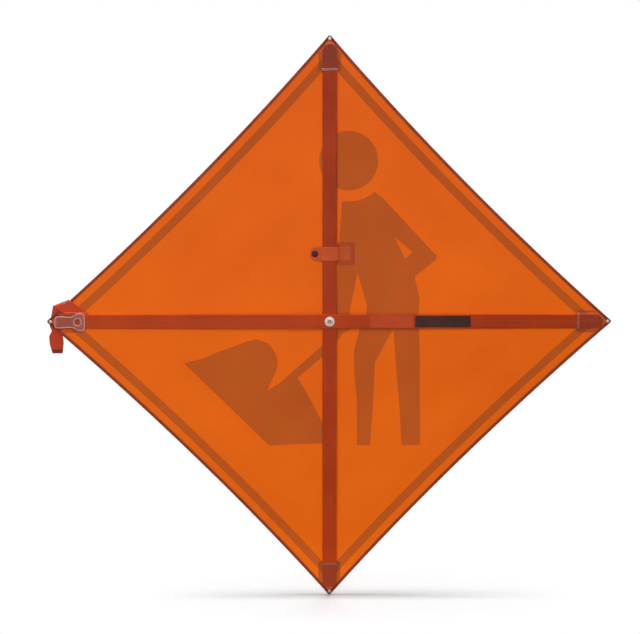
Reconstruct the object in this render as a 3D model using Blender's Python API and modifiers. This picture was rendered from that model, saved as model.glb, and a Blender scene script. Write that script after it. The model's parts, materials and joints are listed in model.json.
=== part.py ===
"""Roll-up traffic sign: a square of vinyl cloth on two crossed fibreglass ribs.

The sign hangs as a diamond. The printed face looks along +Y, and the ribs lie
behind the cloth, on its -Y side. Every piece is first placed in the sign's own
frame: x to the right, z up, and a depth that grows from the cloth's back
towards -Y. The origin is the face of the vertical rib that a stand clamps.
"""

import math

import bmesh
import bpy
from mathutils import Vector

MM = 0.001

# Cloth
SIDE = 914.4 * MM
EDGE_SAG = 14.9 * MM
CLOTH_T = 0.8 * MM
TIP_CUT = 2.5 * MM
SEAT = 0.3 * MM
EDGE_SEGMENTS = 18
CLOTH_BENDS = 12
CUT_PAST = 3 * MM
FLAT_ANGLE = 1e-4
RIM = 0.3 * MM

# Edge binding, a folded tape
BINDING_W = 6.5 * MM
BINDING_T = 0.6 * MM

# Ribs, flat pultruded bars
RIB_W = 31.75 * MM
UPRIGHT_T = 9.5 * MM
CROSS_T = 4.8 * MM
RIB_TIP_GAP = 22 * MM
RIB_EDGE = 0.8 * MM
BAR_FLAT_ANGLE = 0.003
UPRIGHT_SEAT = 0.4 * MM
RIB_GAP = 2.5 * MM
CROSS_LIFT = 1.4 * MM
CLAMP_FROM_TIP = 115 * MM
CLAMP_LENGTH = 60 * MM
CLAMP_PROUD = 0.05 * MM
CLAMP_STEP = 1 * MM

# Centre pivot, a tubular rivet
PIVOT_R = 4 * MM
PIVOT_CLEARANCE = 0.3 * MM
PIVOT_HEAD_R = 8 * MM
PIVOT_HEAD_T = 2 * MM
PIVOT_HEAD_SUNK = 0.2 * MM
PIVOT_BORE_R = 2.6 * MM
PIVOT_BORE_DEPTH = 6 * MM
PIVOT_BORE_POINT = 1 * MM
CLINCH_R = 6.5 * MM
CLINCH_T = 2 * MM
CLINCH_LIP = 0.4 * MM
WASHER_R = 11.5 * MM
WASHER_T = 1.4 * MM
SPACER_R = 11 * MM

# Corner pockets
POCKET_LENGTH = 81 * MM
POCKET_WALL = 0.8 * MM
POCKET_SLACK = 0.4 * MM
POCKET_SIDE_SLACK = 0.5 * MM
POCKET_SEAM = 8 * MM
POCKET_HEM_W = 6 * MM
POCKET_HEM_T = 0.4 * MM
POCKET_FLAT = 14 * MM
POCKET_START = 12.2 * MM
POCKET_ARC = 14

# Corner rivets
TIP_RIVET_FROM_TIP = 9.5 * MM
TIP_RIVET_R = 2 * MM
TIP_RIVET_HEAD_R = 4 * MM
TIP_RIVET_HEAD_T = 1.4 * MM

# Keeper strap, which holds the cloth to the vertical rib
KEEPER_Z = 154 * MM
KEEPER_W = 31 * MM
KEEPER_T = 1.6 * MM
KEEPER_END_X = -44 * MM
KEEPER_HINGE_X = 25 * MM
KEEPER_BEND_GAP = 0.4 * MM
KEEPER_SEWN_END_X = 48 * MM
KEEPER_OVER_RIB = 0.3 * MM
KEEPER_LEG_CLEARANCE = 1 * MM
KEEPER_SLOPE = 7 * MM
KEEPER_CREST = (2 * MM, 1.4 * MM)
KEEPER_CORNER_R = 1 * MM
PATCH_X = (17.5 * MM, 57 * MM)
PATCH_H = 52 * MM
PATCH_T = 0.8 * MM
PATCH_CORNER_R = 3 * MM

# Snap fastener at the keeper strap's free end
SNAP_X = -33.5 * MM
SNAP_CAP_R = 7.5 * MM
SNAP_CAP_T = 1.6 * MM
SNAP_POST_SHORT = 0.6 * MM
SNAP_POST_R = 1.6 * MM
SNAP_SOCKET_R = 6 * MM
SNAP_SOCKET_BORE_R = 2.7 * MM
SNAP_SOCKET_T = 2.1 * MM
SNAP_STUD_R = 6 * MM
SNAP_STUD_T = 0.8 * MM
SNAP_KNOB_R = 2.2 * MM
SNAP_KNOB_T = 1.6 * MM
SNAP_SHANK_R = 1.8 * MM
SNAP_EYELET_R = 5.5 * MM
SNAP_EYELET_T = 0.8 * MM

# Pull tab of clear vinyl on the left pocket, distances from the left tip
TAB_START = 20 * MM
TAB_END = 90 * MM
TAB_BODY_HALF_W = 15.5 * MM
TAB_CHAMFER = 4 * MM
TAB_WAIST = 56 * MM
TAB_WAIST_HALF_W = 12 * MM
TAB_WAIST_BEND = 6 * MM
TAB_NECK = 16 * MM
TAB_FLARE = 77 * MM
TAB_FLARE_HALF_W = 21 * MM
TAB_T = 1.2 * MM
TAB_CORNER_R = 7 * MM
TAB_HOLE_FROM_TIP = 73 * MM
TAB_HOLE_R = 7.5 * MM

# Tie strap that binds the rolled sign
TIE_W = 33 * MM
TIE_T = 1.6 * MM
TIE_FROM_TIP = 20 * MM
TIE_TILT = math.radians(11)
TIE_BELOW = 24 * MM
TIE_ABOVE = 50 * MM
TIE_BACK_END = 22.5 * MM
TIE_LOOP_LENGTH = 49 * MM
TIE_LOOP_TAPER = 5.5 * MM
TIE_HEM = 9 * MM
TIE_HEM_T = 0.6 * MM
TIE_SHOULDER = 3 * MM
TIE_BEND_GAP = 0.4 * MM
TIE_HOOK_W = 12 * MM
TIE_HOOK_L = 8 * MM
TIE_HOOK_T = 1 * MM
TIE_HOOK_R = 1 * MM

# Blank labels on the cross rib, from the pivot outwards
LABEL_T = 0.3 * MM
ORANGE_LABEL = (92 * MM, 191 * MM, 28 * MM)
BLACK_LABEL = (195 * MM, 322 * MM, 26 * MM)
LABEL_R = 2 * MM

# Everything below follows from the sizes above
HALF = SIDE / math.sqrt(2)
ARC_R = (SIDE**2 / 4 + EDGE_SAG**2) / (2 * EDGE_SAG)
ARC_HALF_ANGLE = math.asin(SIDE / 2 / ARC_R)
TIP_HALF_ANGLE = math.pi / 4 - ARC_HALF_ANGLE
RIB_LENGTH = 2 * (HALF - RIB_TIP_GAP)
UPRIGHT_BACK = UPRIGHT_SEAT + UPRIGHT_T
CROSS_FRONT = UPRIGHT_BACK + RIB_GAP
CROSS_BACK = CROSS_FRONT + CROSS_T
SIDE_SET_BACK = CROSS_FRONT - CROSS_LIFT
FLAT_FROM = HALF - POCKET_LENGTH - POCKET_FLAT
CLOTH_INSET = BINDING_T + SEAT
BINDING_BACK = SEAT + BINDING_T
BINDING_FRONT = -CLOTH_T - SEAT - BINDING_T
CENTRE_Z = HALF - CLAMP_FROM_TIP
PATCH_BACK = SEAT + PATCH_T
KEEPER_LOW = PATCH_BACK + SEAT + KEEPER_T / 2
KEEPER_HIGH = UPRIGHT_BACK + KEEPER_OVER_RIB + KEEPER_T / 2
SNAP_SOCKET_FRONT = SEAT + SNAP_STUD_T + SEAT
SNAP_SOCKET_BACK = SNAP_SOCKET_FRONT + SNAP_SOCKET_T
KEEPER_END_DEPTH = SNAP_SOCKET_BACK + SEAT + KEEPER_T / 2
CROSS_POCKET_TOP = CROSS_BACK + POCKET_SLACK + POCKET_WALL
TAB_FRONT = CROSS_POCKET_TOP + POCKET_HEM_T + SEAT
TIP_RIVET_FRONT = BINDING_FRONT - SEAT - TIP_RIVET_HEAD_T
TIE_FRONT_RUN = SIDE_SET_BACK + TIP_RIVET_FRONT - SEAT - TIE_T / 2
TIE_BEND_DEPTH = TIE_FRONT_RUN - TIE_T / 2
TIE_BACK_RUN = SIDE_SET_BACK + BINDING_BACK + POCKET_WALL + TIE_T / 2
LABEL_FRONT = CROSS_BACK + SEAT

COLOURS = {
    "orange vinyl": ((0.70, 0.12, 0.01), 0.55, 0.0),
    "dark binding": ((0.25, 0.035, 0.015), 0.7, 0.0),
    "red fibreglass": ((0.32, 0.04, 0.015), 0.4, 0.0),
    "pocket vinyl": ((0.27, 0.045, 0.022), 0.5, 0.0),
    "orange webbing": ((0.45, 0.07, 0.02), 0.8, 0.0),
    "red webbing": ((0.40, 0.04, 0.015), 0.8, 0.0),
    "clear vinyl": ((0.60, 0.35, 0.30), 0.25, 0.0),
    "bright aluminium": ((0.75, 0.72, 0.70), 0.35, 1.0),
    "black enamel": ((0.02, 0.012, 0.012), 0.35, 0.0),
    "white nylon": ((0.8, 0.8, 0.78), 0.5, 0.0),
    "orange label": ((0.50, 0.07, 0.02), 0.4, 0.0),
    "black label": ((0.02, 0.015, 0.015), 0.4, 0.0),
    "grey hook tape": ((0.25, 0.25, 0.25), 0.8, 0.0),
}


def set_back(x):
    """How far the cloth is drawn back at x: the side corners follow the cross rib."""
    if abs(x) >= FLAT_FROM:
        return SIDE_SET_BACK
    return SIDE_SET_BACK * math.sin(math.pi * abs(x) / (2 * FLAT_FROM)) ** 2


def clear_scene():
    for obj in list(bpy.data.objects):
        bpy.data.objects.remove(obj, do_unlink=True)


def make_collection(name, visible=True):
    collection = bpy.data.collections.new(name)
    collection.hide_render = not visible
    bpy.context.scene.collection.children.link(collection)
    return collection


def make_material(name):
    colour, roughness, metallic = COLOURS[name]
    material = bpy.data.materials.new(name)
    material.use_nodes = True
    shader = material.node_tree.nodes["Principled BSDF"]
    shader.inputs["Base Color"].default_value = (*colour, 1)
    shader.inputs["Roughness"].default_value = roughness
    shader.inputs["Metallic"].default_value = metallic
    return material


def make_empty(name, location, parent=None):
    empty = bpy.data.objects.new(name, None)
    empty.location = location
    empty.parent = parent
    SIGN.objects.link(empty)
    return empty


def add_piece(name, mesh, material, pivot, turn=0.0):
    """Puts a mesh made in the sign's frame under its pivot, turned about the pivot's Y axis."""
    obj = bpy.data.objects.new(name, mesh)
    SIGN.objects.link(obj)
    obj.parent = pivot
    obj.rotation_euler = (0, turn, 0)
    obj.data.materials.append(MATERIALS[material])
    return obj


def mesh_from(bm, name):
    bmesh.ops.recalc_face_normals(bm, faces=bm.faces[:])
    mesh = bpy.data.meshes.new(name)
    bm.to_mesh(mesh)
    bm.free()
    return mesh


def plate(outline, front, back, holes=()):
    """A bmesh plate between two depths, from an outline of (x, z) points and any holes in it."""
    curve = bpy.data.curves.new("outline", "CURVE")
    curve.dimensions = "2D"
    curve.fill_mode = "BOTH"
    curve.extrude = (back - front) / 2
    for points in (outline, *holes):
        spline = curve.splines.new("POLY")
        spline.points.add(len(points) - 1)
        spline.use_cyclic_u = True
        for point, (x, z) in zip(spline.points, points):
            point.co = (x, z, 0, 1)
    holder = bpy.data.objects.new("outline", curve)
    bpy.context.scene.collection.objects.link(holder)
    bpy.context.view_layer.update()
    evaluated = holder.evaluated_get(bpy.context.evaluated_depsgraph_get())
    mesh = bpy.data.meshes.new_from_object(evaluated)
    bm = bmesh.new()
    bm.from_mesh(mesh)
    bpy.data.objects.remove(holder, do_unlink=True)
    bpy.data.meshes.remove(mesh)
    bmesh.ops.remove_doubles(bm, verts=bm.verts[:], dist=1e-6)
    middle = (front + back) / 2
    for vert in bm.verts:
        x, z, depth = vert.co
        vert.co = (x, -(middle + depth), z)
    bmesh.ops.dissolve_limit(bm, angle_limit=FLAT_ANGLE, verts=bm.verts[:], edges=bm.edges[:])
    return bm


def circle(x, z, radius, segments=24):
    step = 2 * math.pi / segments
    return [
        (x + radius * math.cos(i * step), z + radius * math.sin(i * step))
        for i in range(segments)
    ]


def arc(x, z, radius, start, end, segments):
    """Points on an arc between two angles in degrees, both ends included."""
    angles = [
        math.radians(start + (end - start) * i / segments) for i in range(segments + 1)
    ]
    return [(x + radius * math.cos(a), z + radius * math.sin(a)) for a in angles]


def slice_at(bm, values, normal):
    """Cuts edge loops across a mesh, so that it can bend there."""
    for value in values:
        geometry = bm.verts[:] + bm.edges[:] + bm.faces[:]
        bmesh.ops.bisect_plane(
            bm, geom=geometry, plane_co=Vector(normal) * value, plane_no=normal
        )


def keep_side(bm, point, outward):
    """Cuts away what lies past a plane and closes the cut."""
    geometry = bm.verts[:] + bm.edges[:] + bm.faces[:]
    bmesh.ops.bisect_plane(
        bm, geom=geometry, plane_co=point, plane_no=outward, clear_outer=True
    )
    rim = [edge for edge in bm.edges if edge.is_boundary]
    bmesh.ops.holes_fill(bm, edges=rim, sides=0)


def drape(bm):
    """Sets each point back with the cloth."""
    for vert in bm.verts:
        vert.co.y -= set_back(vert.co.x)


def turned(profile, x, z, segments=24):
    """A turned mesh about a line along Y, from (radius, depth) points that start and end on the axis."""
    bm = bmesh.new()
    verts = [bm.verts.new((x + radius, -depth, z)) for radius, depth in profile]
    edges = [bm.edges.new(pair) for pair in zip(verts, verts[1:])]
    if profile[0][0] > 0:
        edges.append(bm.edges.new((verts[-1], verts[0])))
    bmesh.ops.spin(
        bm,
        geom=verts + edges,
        cent=(x, 0, z),
        axis=(0, 1, 0),
        angle=2 * math.pi,
        steps=segments,
        use_merge=True,
    )
    bmesh.ops.remove_doubles(bm, verts=bm.verts[:], dist=1e-6)
    return bm


def add_cutter(name, bm, pivot, turn=0.0):
    obj = bpy.data.objects.new(name, mesh_from(bm, name))
    CUTTERS.objects.link(obj)
    obj.parent = pivot
    obj.rotation_euler = (0, turn, 0)
    obj.hide_render = True
    obj.display_type = "WIRE"
    return obj


def boolean(obj, cutter, operation="DIFFERENCE", solver="EXACT"):
    modifier = obj.modifiers.new(cutter.name, "BOOLEAN")
    modifier.operation = operation
    modifier.solver = solver
    modifier.object = cutter


def edge_point(sign_x, sign_z, inset, share):
    """A point of a drawn-in edge, for a share from -1 at the side tip to 1 at the top or bottom tip."""
    middle = HALF / 2 + (ARC_R - EDGE_SAG) / math.sqrt(2)
    radius = ARC_R + inset
    reach = math.asin((SIDE / 2 - inset) / radius)
    angle = math.radians(225) - share * reach
    return (
        sign_x * (middle + radius * math.cos(angle)),
        sign_z * (middle + radius * math.sin(angle)),
    )


def make_cloth():
    quadrants = ((1, 1, 1), (-1, 1, -1), (-1, -1, 1), (1, -1, -1))
    outline = []
    for sign_x, sign_z, way in quadrants:
        for step in range(EDGE_SEGMENTS):
            share = way * (2 * step / EDGE_SEGMENTS - 1)
            outline.append(edge_point(sign_x, sign_z, CLOTH_INSET, share))
    bm = plate(outline, -CLOTH_T, 0)
    tip = HALF - TIP_CUT
    for outward in ((1, 0, 0), (-1, 0, 0), (0, 0, 1), (0, 0, -1)):
        keep_side(bm, Vector(outward) * tip, outward)
    steps = range(-CLOTH_BENDS, CLOTH_BENDS + 1)
    bends = [FLAT_FROM * step / CLOTH_BENDS for step in steps]
    slice_at(bm, bends, (1, 0, 0))
    drape(bm)
    cloth = add_piece("sign_cloth", mesh_from(bm, "sign_cloth"), "orange vinyl", CENTRE)
    for name, (x, z) in TIP_RIVET_PLACES.items():
        boolean(cloth, rivet_hole(name, x, z))
    hole = circle(SNAP_X, KEEPER_Z, SNAP_SHANK_R + SEAT, 12)
    shank = plate(hole, -CLOTH_T - CUT_PAST, CUT_PAST)
    boolean(cloth, add_cutter("snap_hole", shank, CENTRE))


def rivet_hole(name, x, z):
    base = set_back(x)
    hole = circle(x, z, TIP_RIVET_R + SEAT, 16)
    bm = plate(hole, base + BINDING_FRONT - CUT_PAST, base + BINDING_BACK + CUT_PAST)
    return add_cutter("hole_" + name, bm, CENTRE)


def make_bindings():
    """A folded tape along each edge: a U section spun about the centre of the edge's arc."""
    section = (
        (0, BINDING_FRONT),
        (0, BINDING_BACK),
        (BINDING_W, BINDING_BACK),
        (BINDING_W, SEAT),
        (BINDING_T, SEAT),
        (BINDING_T, -CLOTH_T - SEAT),
        (BINDING_W, -CLOTH_T - SEAT),
        (BINDING_W, BINDING_FRONT),
    )
    centre = HALF / 2 + (ARC_R - EDGE_SAG) / math.sqrt(2)
    sides = {
        "binding_upper_right": (1, 1),
        "binding_upper_left": (-1, 1),
        "binding_lower_left": (-1, -1),
        "binding_lower_right": (1, -1),
    }
    overrun = ARC_HALF_ANGLE * 1.03
    for name, (sign_x, sign_z) in sides.items():
        bm = bmesh.new()
        start = math.radians(225) - overrun
        verts = []
        for inset, depth in section:
            radius = ARC_R + inset
            x = centre + radius * math.cos(start)
            z = centre + radius * math.sin(start)
            verts.append(bm.verts.new((x, -depth, z)))
        edges = [bm.edges.new(pair) for pair in zip(verts, verts[1:] + verts[:1])]
        bmesh.ops.spin(
            bm,
            geom=verts + edges,
            cent=(centre, 0, centre),
            axis=(0, -1, 0),
            angle=2 * overrun,
            steps=EDGE_SEGMENTS + 2,
        )
        rim = [edge for edge in bm.edges if edge.is_boundary]
        bmesh.ops.holes_fill(bm, edges=rim, sides=0)
        keep_side(bm, (SEAT / 2, 0, 0), (-1, 0, 0))
        keep_side(bm, (0, 0, SEAT / 2), (0, 0, -1))
        keep_side(bm, (HALF - TIP_CUT, 0, 0), (1, 0, 0))
        keep_side(bm, (0, 0, HALF - TIP_CUT), (0, 0, 1))
        bmesh.ops.scale(bm, vec=(sign_x, 1, sign_z), verts=bm.verts[:])
        drape(bm)
        piece = add_piece(name, mesh_from(bm, name), "dark binding", CENTRE)
        for rivet, (x, z) in TIP_RIVET_PLACES.items():
            if x * sign_x >= 0 and z * sign_z >= 0:
                boolean(piece, bpy.data.objects["hole_" + rivet])


def bar(length, front, back):
    """A flat bar along X with half-round ends."""
    radius = RIB_W / 2
    reach = length / 2 - radius
    outline = arc(reach, 0, radius, -90, 90, 12) + arc(-reach, 0, radius, 90, 270, 12)
    bm = plate(outline, front, back)
    bmesh.ops.dissolve_limit(bm, angle_limit=BAR_FLAT_ANGLE, verts=bm.verts[:], edges=bm.edges[:])
    return bm


def soften(obj, width):
    bevel = obj.modifiers.new("softened_edges", "BEVEL")
    bevel.width = width
    bevel.segments = 2
    bevel.limit_method = "ANGLE"
    bevel.angle_limit = math.radians(60)


def make_upright():
    bm = bar(RIB_LENGTH, UPRIGHT_SEAT, UPRIGHT_BACK)
    mesh = mesh_from(bm, "vertical_rib")
    upright = add_piece("vertical_rib", mesh, "red fibreglass", CENTRE, -math.pi / 2)
    soften(upright, RIB_EDGE)
    hole_r = PIVOT_R + PIVOT_CLEARANCE
    head_r = PIVOT_HEAD_R + PIVOT_CLEARANCE
    sink = UPRIGHT_SEAT + PIVOT_HEAD_T + PIVOT_CLEARANCE
    rim = UPRIGHT_SEAT + PIVOT_HEAD_SUNK
    profile = ((0, -CUT_PAST), (head_r, -CUT_PAST), (head_r, rim), (hole_r, sink))
    profile += ((hole_r, UPRIGHT_BACK + CUT_PAST), (0, UPRIGHT_BACK + CUT_PAST))
    boolean(upright, add_cutter("countersink", turned(profile, 0, 0), CENTRE))
    add_clamp_marks(upright)


def add_clamp_marks(upright):
    """Edge loops round the stretch that the stand clamps, which is proud enough to stay a face of its own."""
    centre = -CENTRE_Z
    bm = bmesh.new()
    bm.from_mesh(upright.data)
    half = CLAMP_LENGTH / 2
    marks = (-half - CLAMP_STEP, -half, half, half + CLAMP_STEP)
    slice_at(bm, [centre + mark for mark in marks], (1, 0, 0))
    for vert in bm.verts:
        clamped = abs(vert.co.x - centre) < half + CLAMP_STEP / 2
        if clamped and vert.co.y < -UPRIGHT_T:
            vert.co.y -= CLAMP_PROUD
    bm.to_mesh(upright.data)
    bm.free()


def make_cross_rib():
    bm = bar(RIB_LENGTH, CROSS_FRONT, CROSS_BACK)
    cross = add_piece("cross_rib", mesh_from(bm, "cross_rib"), "red fibreglass", CROSS)
    soften(cross, RIB_EDGE)
    outline = circle(0, 0, PIVOT_R + PIVOT_CLEARANCE)
    hole = plate(outline, CROSS_FRONT - CUT_PAST, CROSS_BACK + CUT_PAST)
    boolean(cross, add_cutter("cross_rib_hole", hole, CROSS))
    labels = {"orange_label": ORANGE_LABEL, "black_label": BLACK_LABEL}
    for name, (start, end, height) in labels.items():
        outline = rounded_box(start, -height / 2, end, height / 2, LABEL_R)
        label = plate(outline, LABEL_FRONT, LABEL_FRONT + LABEL_T)
        add_piece(name, mesh_from(label, name), name.replace("_", " "), CROSS)


def rounded_box(x0, z0, x1, z1, radius, segments=4):
    outline = arc(x1 - radius, z1 - radius, radius, 0, 90, segments)
    outline += arc(x0 + radius, z1 - radius, radius, 90, 180, segments)
    outline += arc(x0 + radius, z0 + radius, radius, 180, 270, segments)
    outline += arc(x1 - radius, z0 + radius, radius, 270, 360, segments)
    return outline


def ring(name, material, pivot, inner, outer, front, back, x=0.0, z=0.0):
    edge = min(RIM, (back - front) / 4)
    profile = ((inner, front), (outer - edge, front), (outer, front + edge))
    profile += ((outer, back - edge), (outer - edge, back), (inner, back))
    return add_piece(name, mesh_from(turned(profile, x, z), name), material, pivot)


def make_pivot():
    """A tubular rivet: its flat head is sunk in the vertical rib, its end is rolled over a washer."""
    washer_front = CROSS_BACK + SEAT
    washer_back = washer_front + WASHER_T
    clinch_front = washer_back + SEAT
    clinch_back = clinch_front + CLINCH_T
    head_front = UPRIGHT_SEAT + PIVOT_HEAD_SUNK
    roll = CLINCH_T / 2
    rolled = arc(CLINCH_R - roll, clinch_back - roll, roll, 0, 180, 6)
    profile = [(0, head_front), (PIVOT_HEAD_R, head_front)]
    profile += [(PIVOT_R, UPRIGHT_SEAT + PIVOT_HEAD_T), (PIVOT_R, clinch_front)]
    profile += [(CLINCH_R - CLINCH_LIP, clinch_front)]
    profile += [point for point in rolled if point[0] > PIVOT_BORE_R]
    profile += [(PIVOT_BORE_R, clinch_back - roll * 1.2)]
    profile += [(PIVOT_BORE_R, clinch_back - PIVOT_BORE_DEPTH)]
    profile += [(0, clinch_back - PIVOT_BORE_DEPTH - PIVOT_BORE_POINT)]
    mesh = mesh_from(turned(profile, 0, 0), "pivot_rivet")
    add_piece("pivot_rivet", mesh, "bright aluminium", CENTRE)
    bore = PIVOT_R + PIVOT_CLEARANCE
    ring("pivot_washer", "bright aluminium", CENTRE, bore, WASHER_R, washer_front, washer_back)
    spacer = (UPRIGHT_BACK + SEAT, CROSS_FRONT - SEAT)
    ring("pivot_spacer", "white nylon", CENTRE, bore, SPACER_R, *spacer)


def make_tip_rivets():
    for name, (x, z) in TIP_RIVET_PLACES.items():
        base = set_back(x)
        back = base + SEAT + POCKET_WALL + SEAT
        front = base + BINDING_FRONT - SEAT
        dome = 0.45 * TIP_RIVET_HEAD_T
        r, head_r, head_t = TIP_RIVET_R, TIP_RIVET_HEAD_R, TIP_RIVET_HEAD_T
        profile = ((0, front - head_t), (head_r * 0.6, front - head_t), (head_r, front - dome))
        profile += ((head_r, front), (r, front), (r, back), (head_r, back))
        profile += ((head_r, back + dome), (head_r * 0.6, back + head_t), (0, back + head_t))
        mesh = mesh_from(turned(profile, x, z, 16), name)
        add_piece(name, mesh, "bright aluminium", CENTRE)


def pocket_pieces(rib_t, rib_seat):
    """The meshes of one corner pocket, made at the left tip: seam, cover, hem and the space for the rib."""
    tip = -HALF
    rib_r = RIB_W / 2
    cover_r = rib_r + POCKET_SIDE_SLACK + POCKET_WALL
    space_r = rib_r + POCKET_SIDE_SLACK
    seam_half = cover_r + POCKET_SEAM
    slope = math.tan(TIP_HALF_ANGLE)
    seam_apex = (BINDING_W + SEAT) / math.sin(TIP_HALF_ANGLE)
    start_half = (POCKET_START - seam_apex) * slope
    full_from = seam_apex + seam_half / slope
    seam_outline = [
        (tip + POCKET_LENGTH, seam_half),
        (tip + full_from, seam_half),
        (tip + POCKET_START, start_half),
        (tip + POCKET_START, -start_half),
        (tip + full_from, -seam_half),
        (tip + POCKET_LENGTH, -seam_half),
    ]
    end_x = tip + RIB_TIP_GAP + rib_r
    mouth = tip + POCKET_LENGTH
    hem_from = mouth - POCKET_HEM_W
    round_end = arc(end_x, 0, cover_r, 90, 270, POCKET_ARC)
    cover_outline = [(mouth, cover_r), *round_end, (mouth, -cover_r)]
    past = mouth + CUT_PAST
    round_space = arc(end_x, 0, space_r, 90, 270, POCKET_ARC)
    space_outline = [(past, space_r), *round_space, (past, -space_r)]
    top = rib_seat + rib_t + POCKET_SLACK
    hem_r = cover_r + POCKET_HEM_T
    hem_outline = [(hem_from, -hem_r), (mouth, -hem_r), (mouth, hem_r), (hem_from, hem_r)]
    band_outline = [
        (hem_from, -seam_half), (mouth, -seam_half), (mouth, seam_half), (hem_from, seam_half)
    ]
    return {
        "seam": plate(seam_outline, SEAT, SEAT + POCKET_WALL),
        "cover": plate(cover_outline, SEAT, top + POCKET_WALL),
        "hem": plate(hem_outline, SEAT, top + POCKET_WALL + POCKET_HEM_T),
        "band": plate(band_outline, SEAT, SEAT + POCKET_WALL + POCKET_HEM_T),
        "space": plate(space_outline, -CUT_PAST, top),
    }


def make_pockets():
    """Each pocket is sewn down round the rib's end and open towards the centre of the sign."""
    pockets = {
        "pocket_left": (0, CROSS_T, CROSS_LIFT, SIDE_SET_BACK),
        "pocket_top": (90, UPRIGHT_T, UPRIGHT_SEAT, 0),
        "pocket_right": (180, CROSS_T, CROSS_LIFT, SIDE_SET_BACK),
        "pocket_bottom": (270, UPRIGHT_T, UPRIGHT_SEAT, 0),
    }
    for name, (degrees, rib_t, rib_seat, base) in pockets.items():
        turn = math.radians(degrees)
        made = pocket_pieces(rib_t, rib_seat)
        pocket = add_piece(name, mesh_from(made["seam"], name), "pocket vinyl", CENTRE, turn)
        pocket.location.y = -base
        for part in ("cover", "hem", "band", "space"):
            cutter = add_cutter(f"{name}_{part}", made[part], CENTRE, turn)
            cutter.location.y = -base
            boolean(pocket, cutter, "DIFFERENCE" if part == "space" else "UNION", "MANIFOLD")


def strap(outline, path):
    """A flat strap laid along a path of (x, depth) points. The outline's x is measured along the path."""
    lengths = [math.dist(a, b) for a, b in zip(path, path[1:])]
    stations = [sum(lengths[:i]) for i in range(len(path))]
    bm = bmesh.new()
    verts = [bm.verts.new((x, 0, z)) for x, z in outline]
    bm.faces.new(verts)
    slice_at(bm, stations[1:-1], (1, 0, 0))
    for vert in bm.verts:
        along = vert.co.x
        leg = max(i for i in range(len(lengths)) if stations[i] <= along + 1e-7)
        share = (along - stations[leg]) / lengths[leg]
        (x0, d0), (x1, d1) = path[leg], path[leg + 1]
        vert.co.x = x0 + (x1 - x0) * share
        vert.co.y = -(d0 + (d1 - d0) * share)
    return bm


def thicken(obj, thickness):
    solidify = obj.modifiers.new("thickness", "SOLIDIFY")
    solidify.thickness = thickness
    solidify.offset = 0
    solidify.use_even_offset = True


def make_keeper():
    """The keeper strap is sewn down at its right end, crosses the vertical rib and snaps to the cloth."""
    middle = sum(PATCH_X) / 2
    low, high = KEEPER_Z - PATCH_H / 2, KEEPER_Z + PATCH_H / 2
    outline = rounded_box(PATCH_X[0], low, PATCH_X[1], high, PATCH_CORNER_R)
    patch = plate(outline, SEAT, PATCH_BACK)
    slice_at(patch, [middle], (1, 0, 0))
    drape(patch)
    add_piece("keeper_patch", mesh_from(patch, "keeper_patch"), "orange webbing", CENTRE)

    half = KEEPER_W / 2
    start, end = KEEPER_HINGE_X + KEEPER_BEND_GAP, KEEPER_SEWN_END_X
    box = rounded_box(start, KEEPER_Z - half, end, KEEPER_Z + half, KEEPER_CORNER_R)
    sewn = plate(box, KEEPER_BEND_DEPTH - KEEPER_T, KEEPER_BEND_DEPTH)
    add_piece("keeper_sewn_end", mesh_from(sewn, "keeper_sewn_end"), "orange webbing", CENTRE)

    shoulder = RIB_W / 2 + KEEPER_LEG_CLEARANCE
    foot = shoulder + KEEPER_SLOPE
    high = KEEPER_HIGH - KEEPER_BEND_DEPTH
    end = KEEPER_END_DEPTH - KEEPER_BEND_DEPTH
    before, drop = KEEPER_CREST
    path = [
        (0, -KEEPER_T / 2),
        (KEEPER_HINGE_X - foot, -KEEPER_T / 2),
        (KEEPER_HINGE_X - shoulder - before, high - drop),
        (KEEPER_HINGE_X - shoulder, high),
        (KEEPER_HINGE_X + shoulder, high),
        (KEEPER_HINGE_X + shoulder + before, high - drop),
        (KEEPER_HINGE_X + foot, end),
        (KEEPER_HINGE_X - KEEPER_END_X, end),
    ]
    length = sum(math.dist(a, b) for a, b in zip(path, path[1:]))
    outline = [(0, half), (0, -half), *arc(length - half, 0, half, -90, 90, 12)]
    bm = strap(outline, path)
    bmesh.ops.scale(bm, vec=(-1, 1, 1), verts=bm.verts[:])
    flap = add_piece("keeper_flap", mesh_from(bm, "keeper_flap"), "orange webbing", KEEPER)
    thicken(flap, KEEPER_T)
    hole = circle(SNAP_X, KEEPER_Z, SNAP_POST_R + SEAT, 12)
    post = plate(hole, KEEPER_END_DEPTH - CUT_PAST, KEEPER_END_DEPTH + CUT_PAST)
    boolean(flap, add_cutter("snap_post_hole", post, CENTRE))


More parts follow.
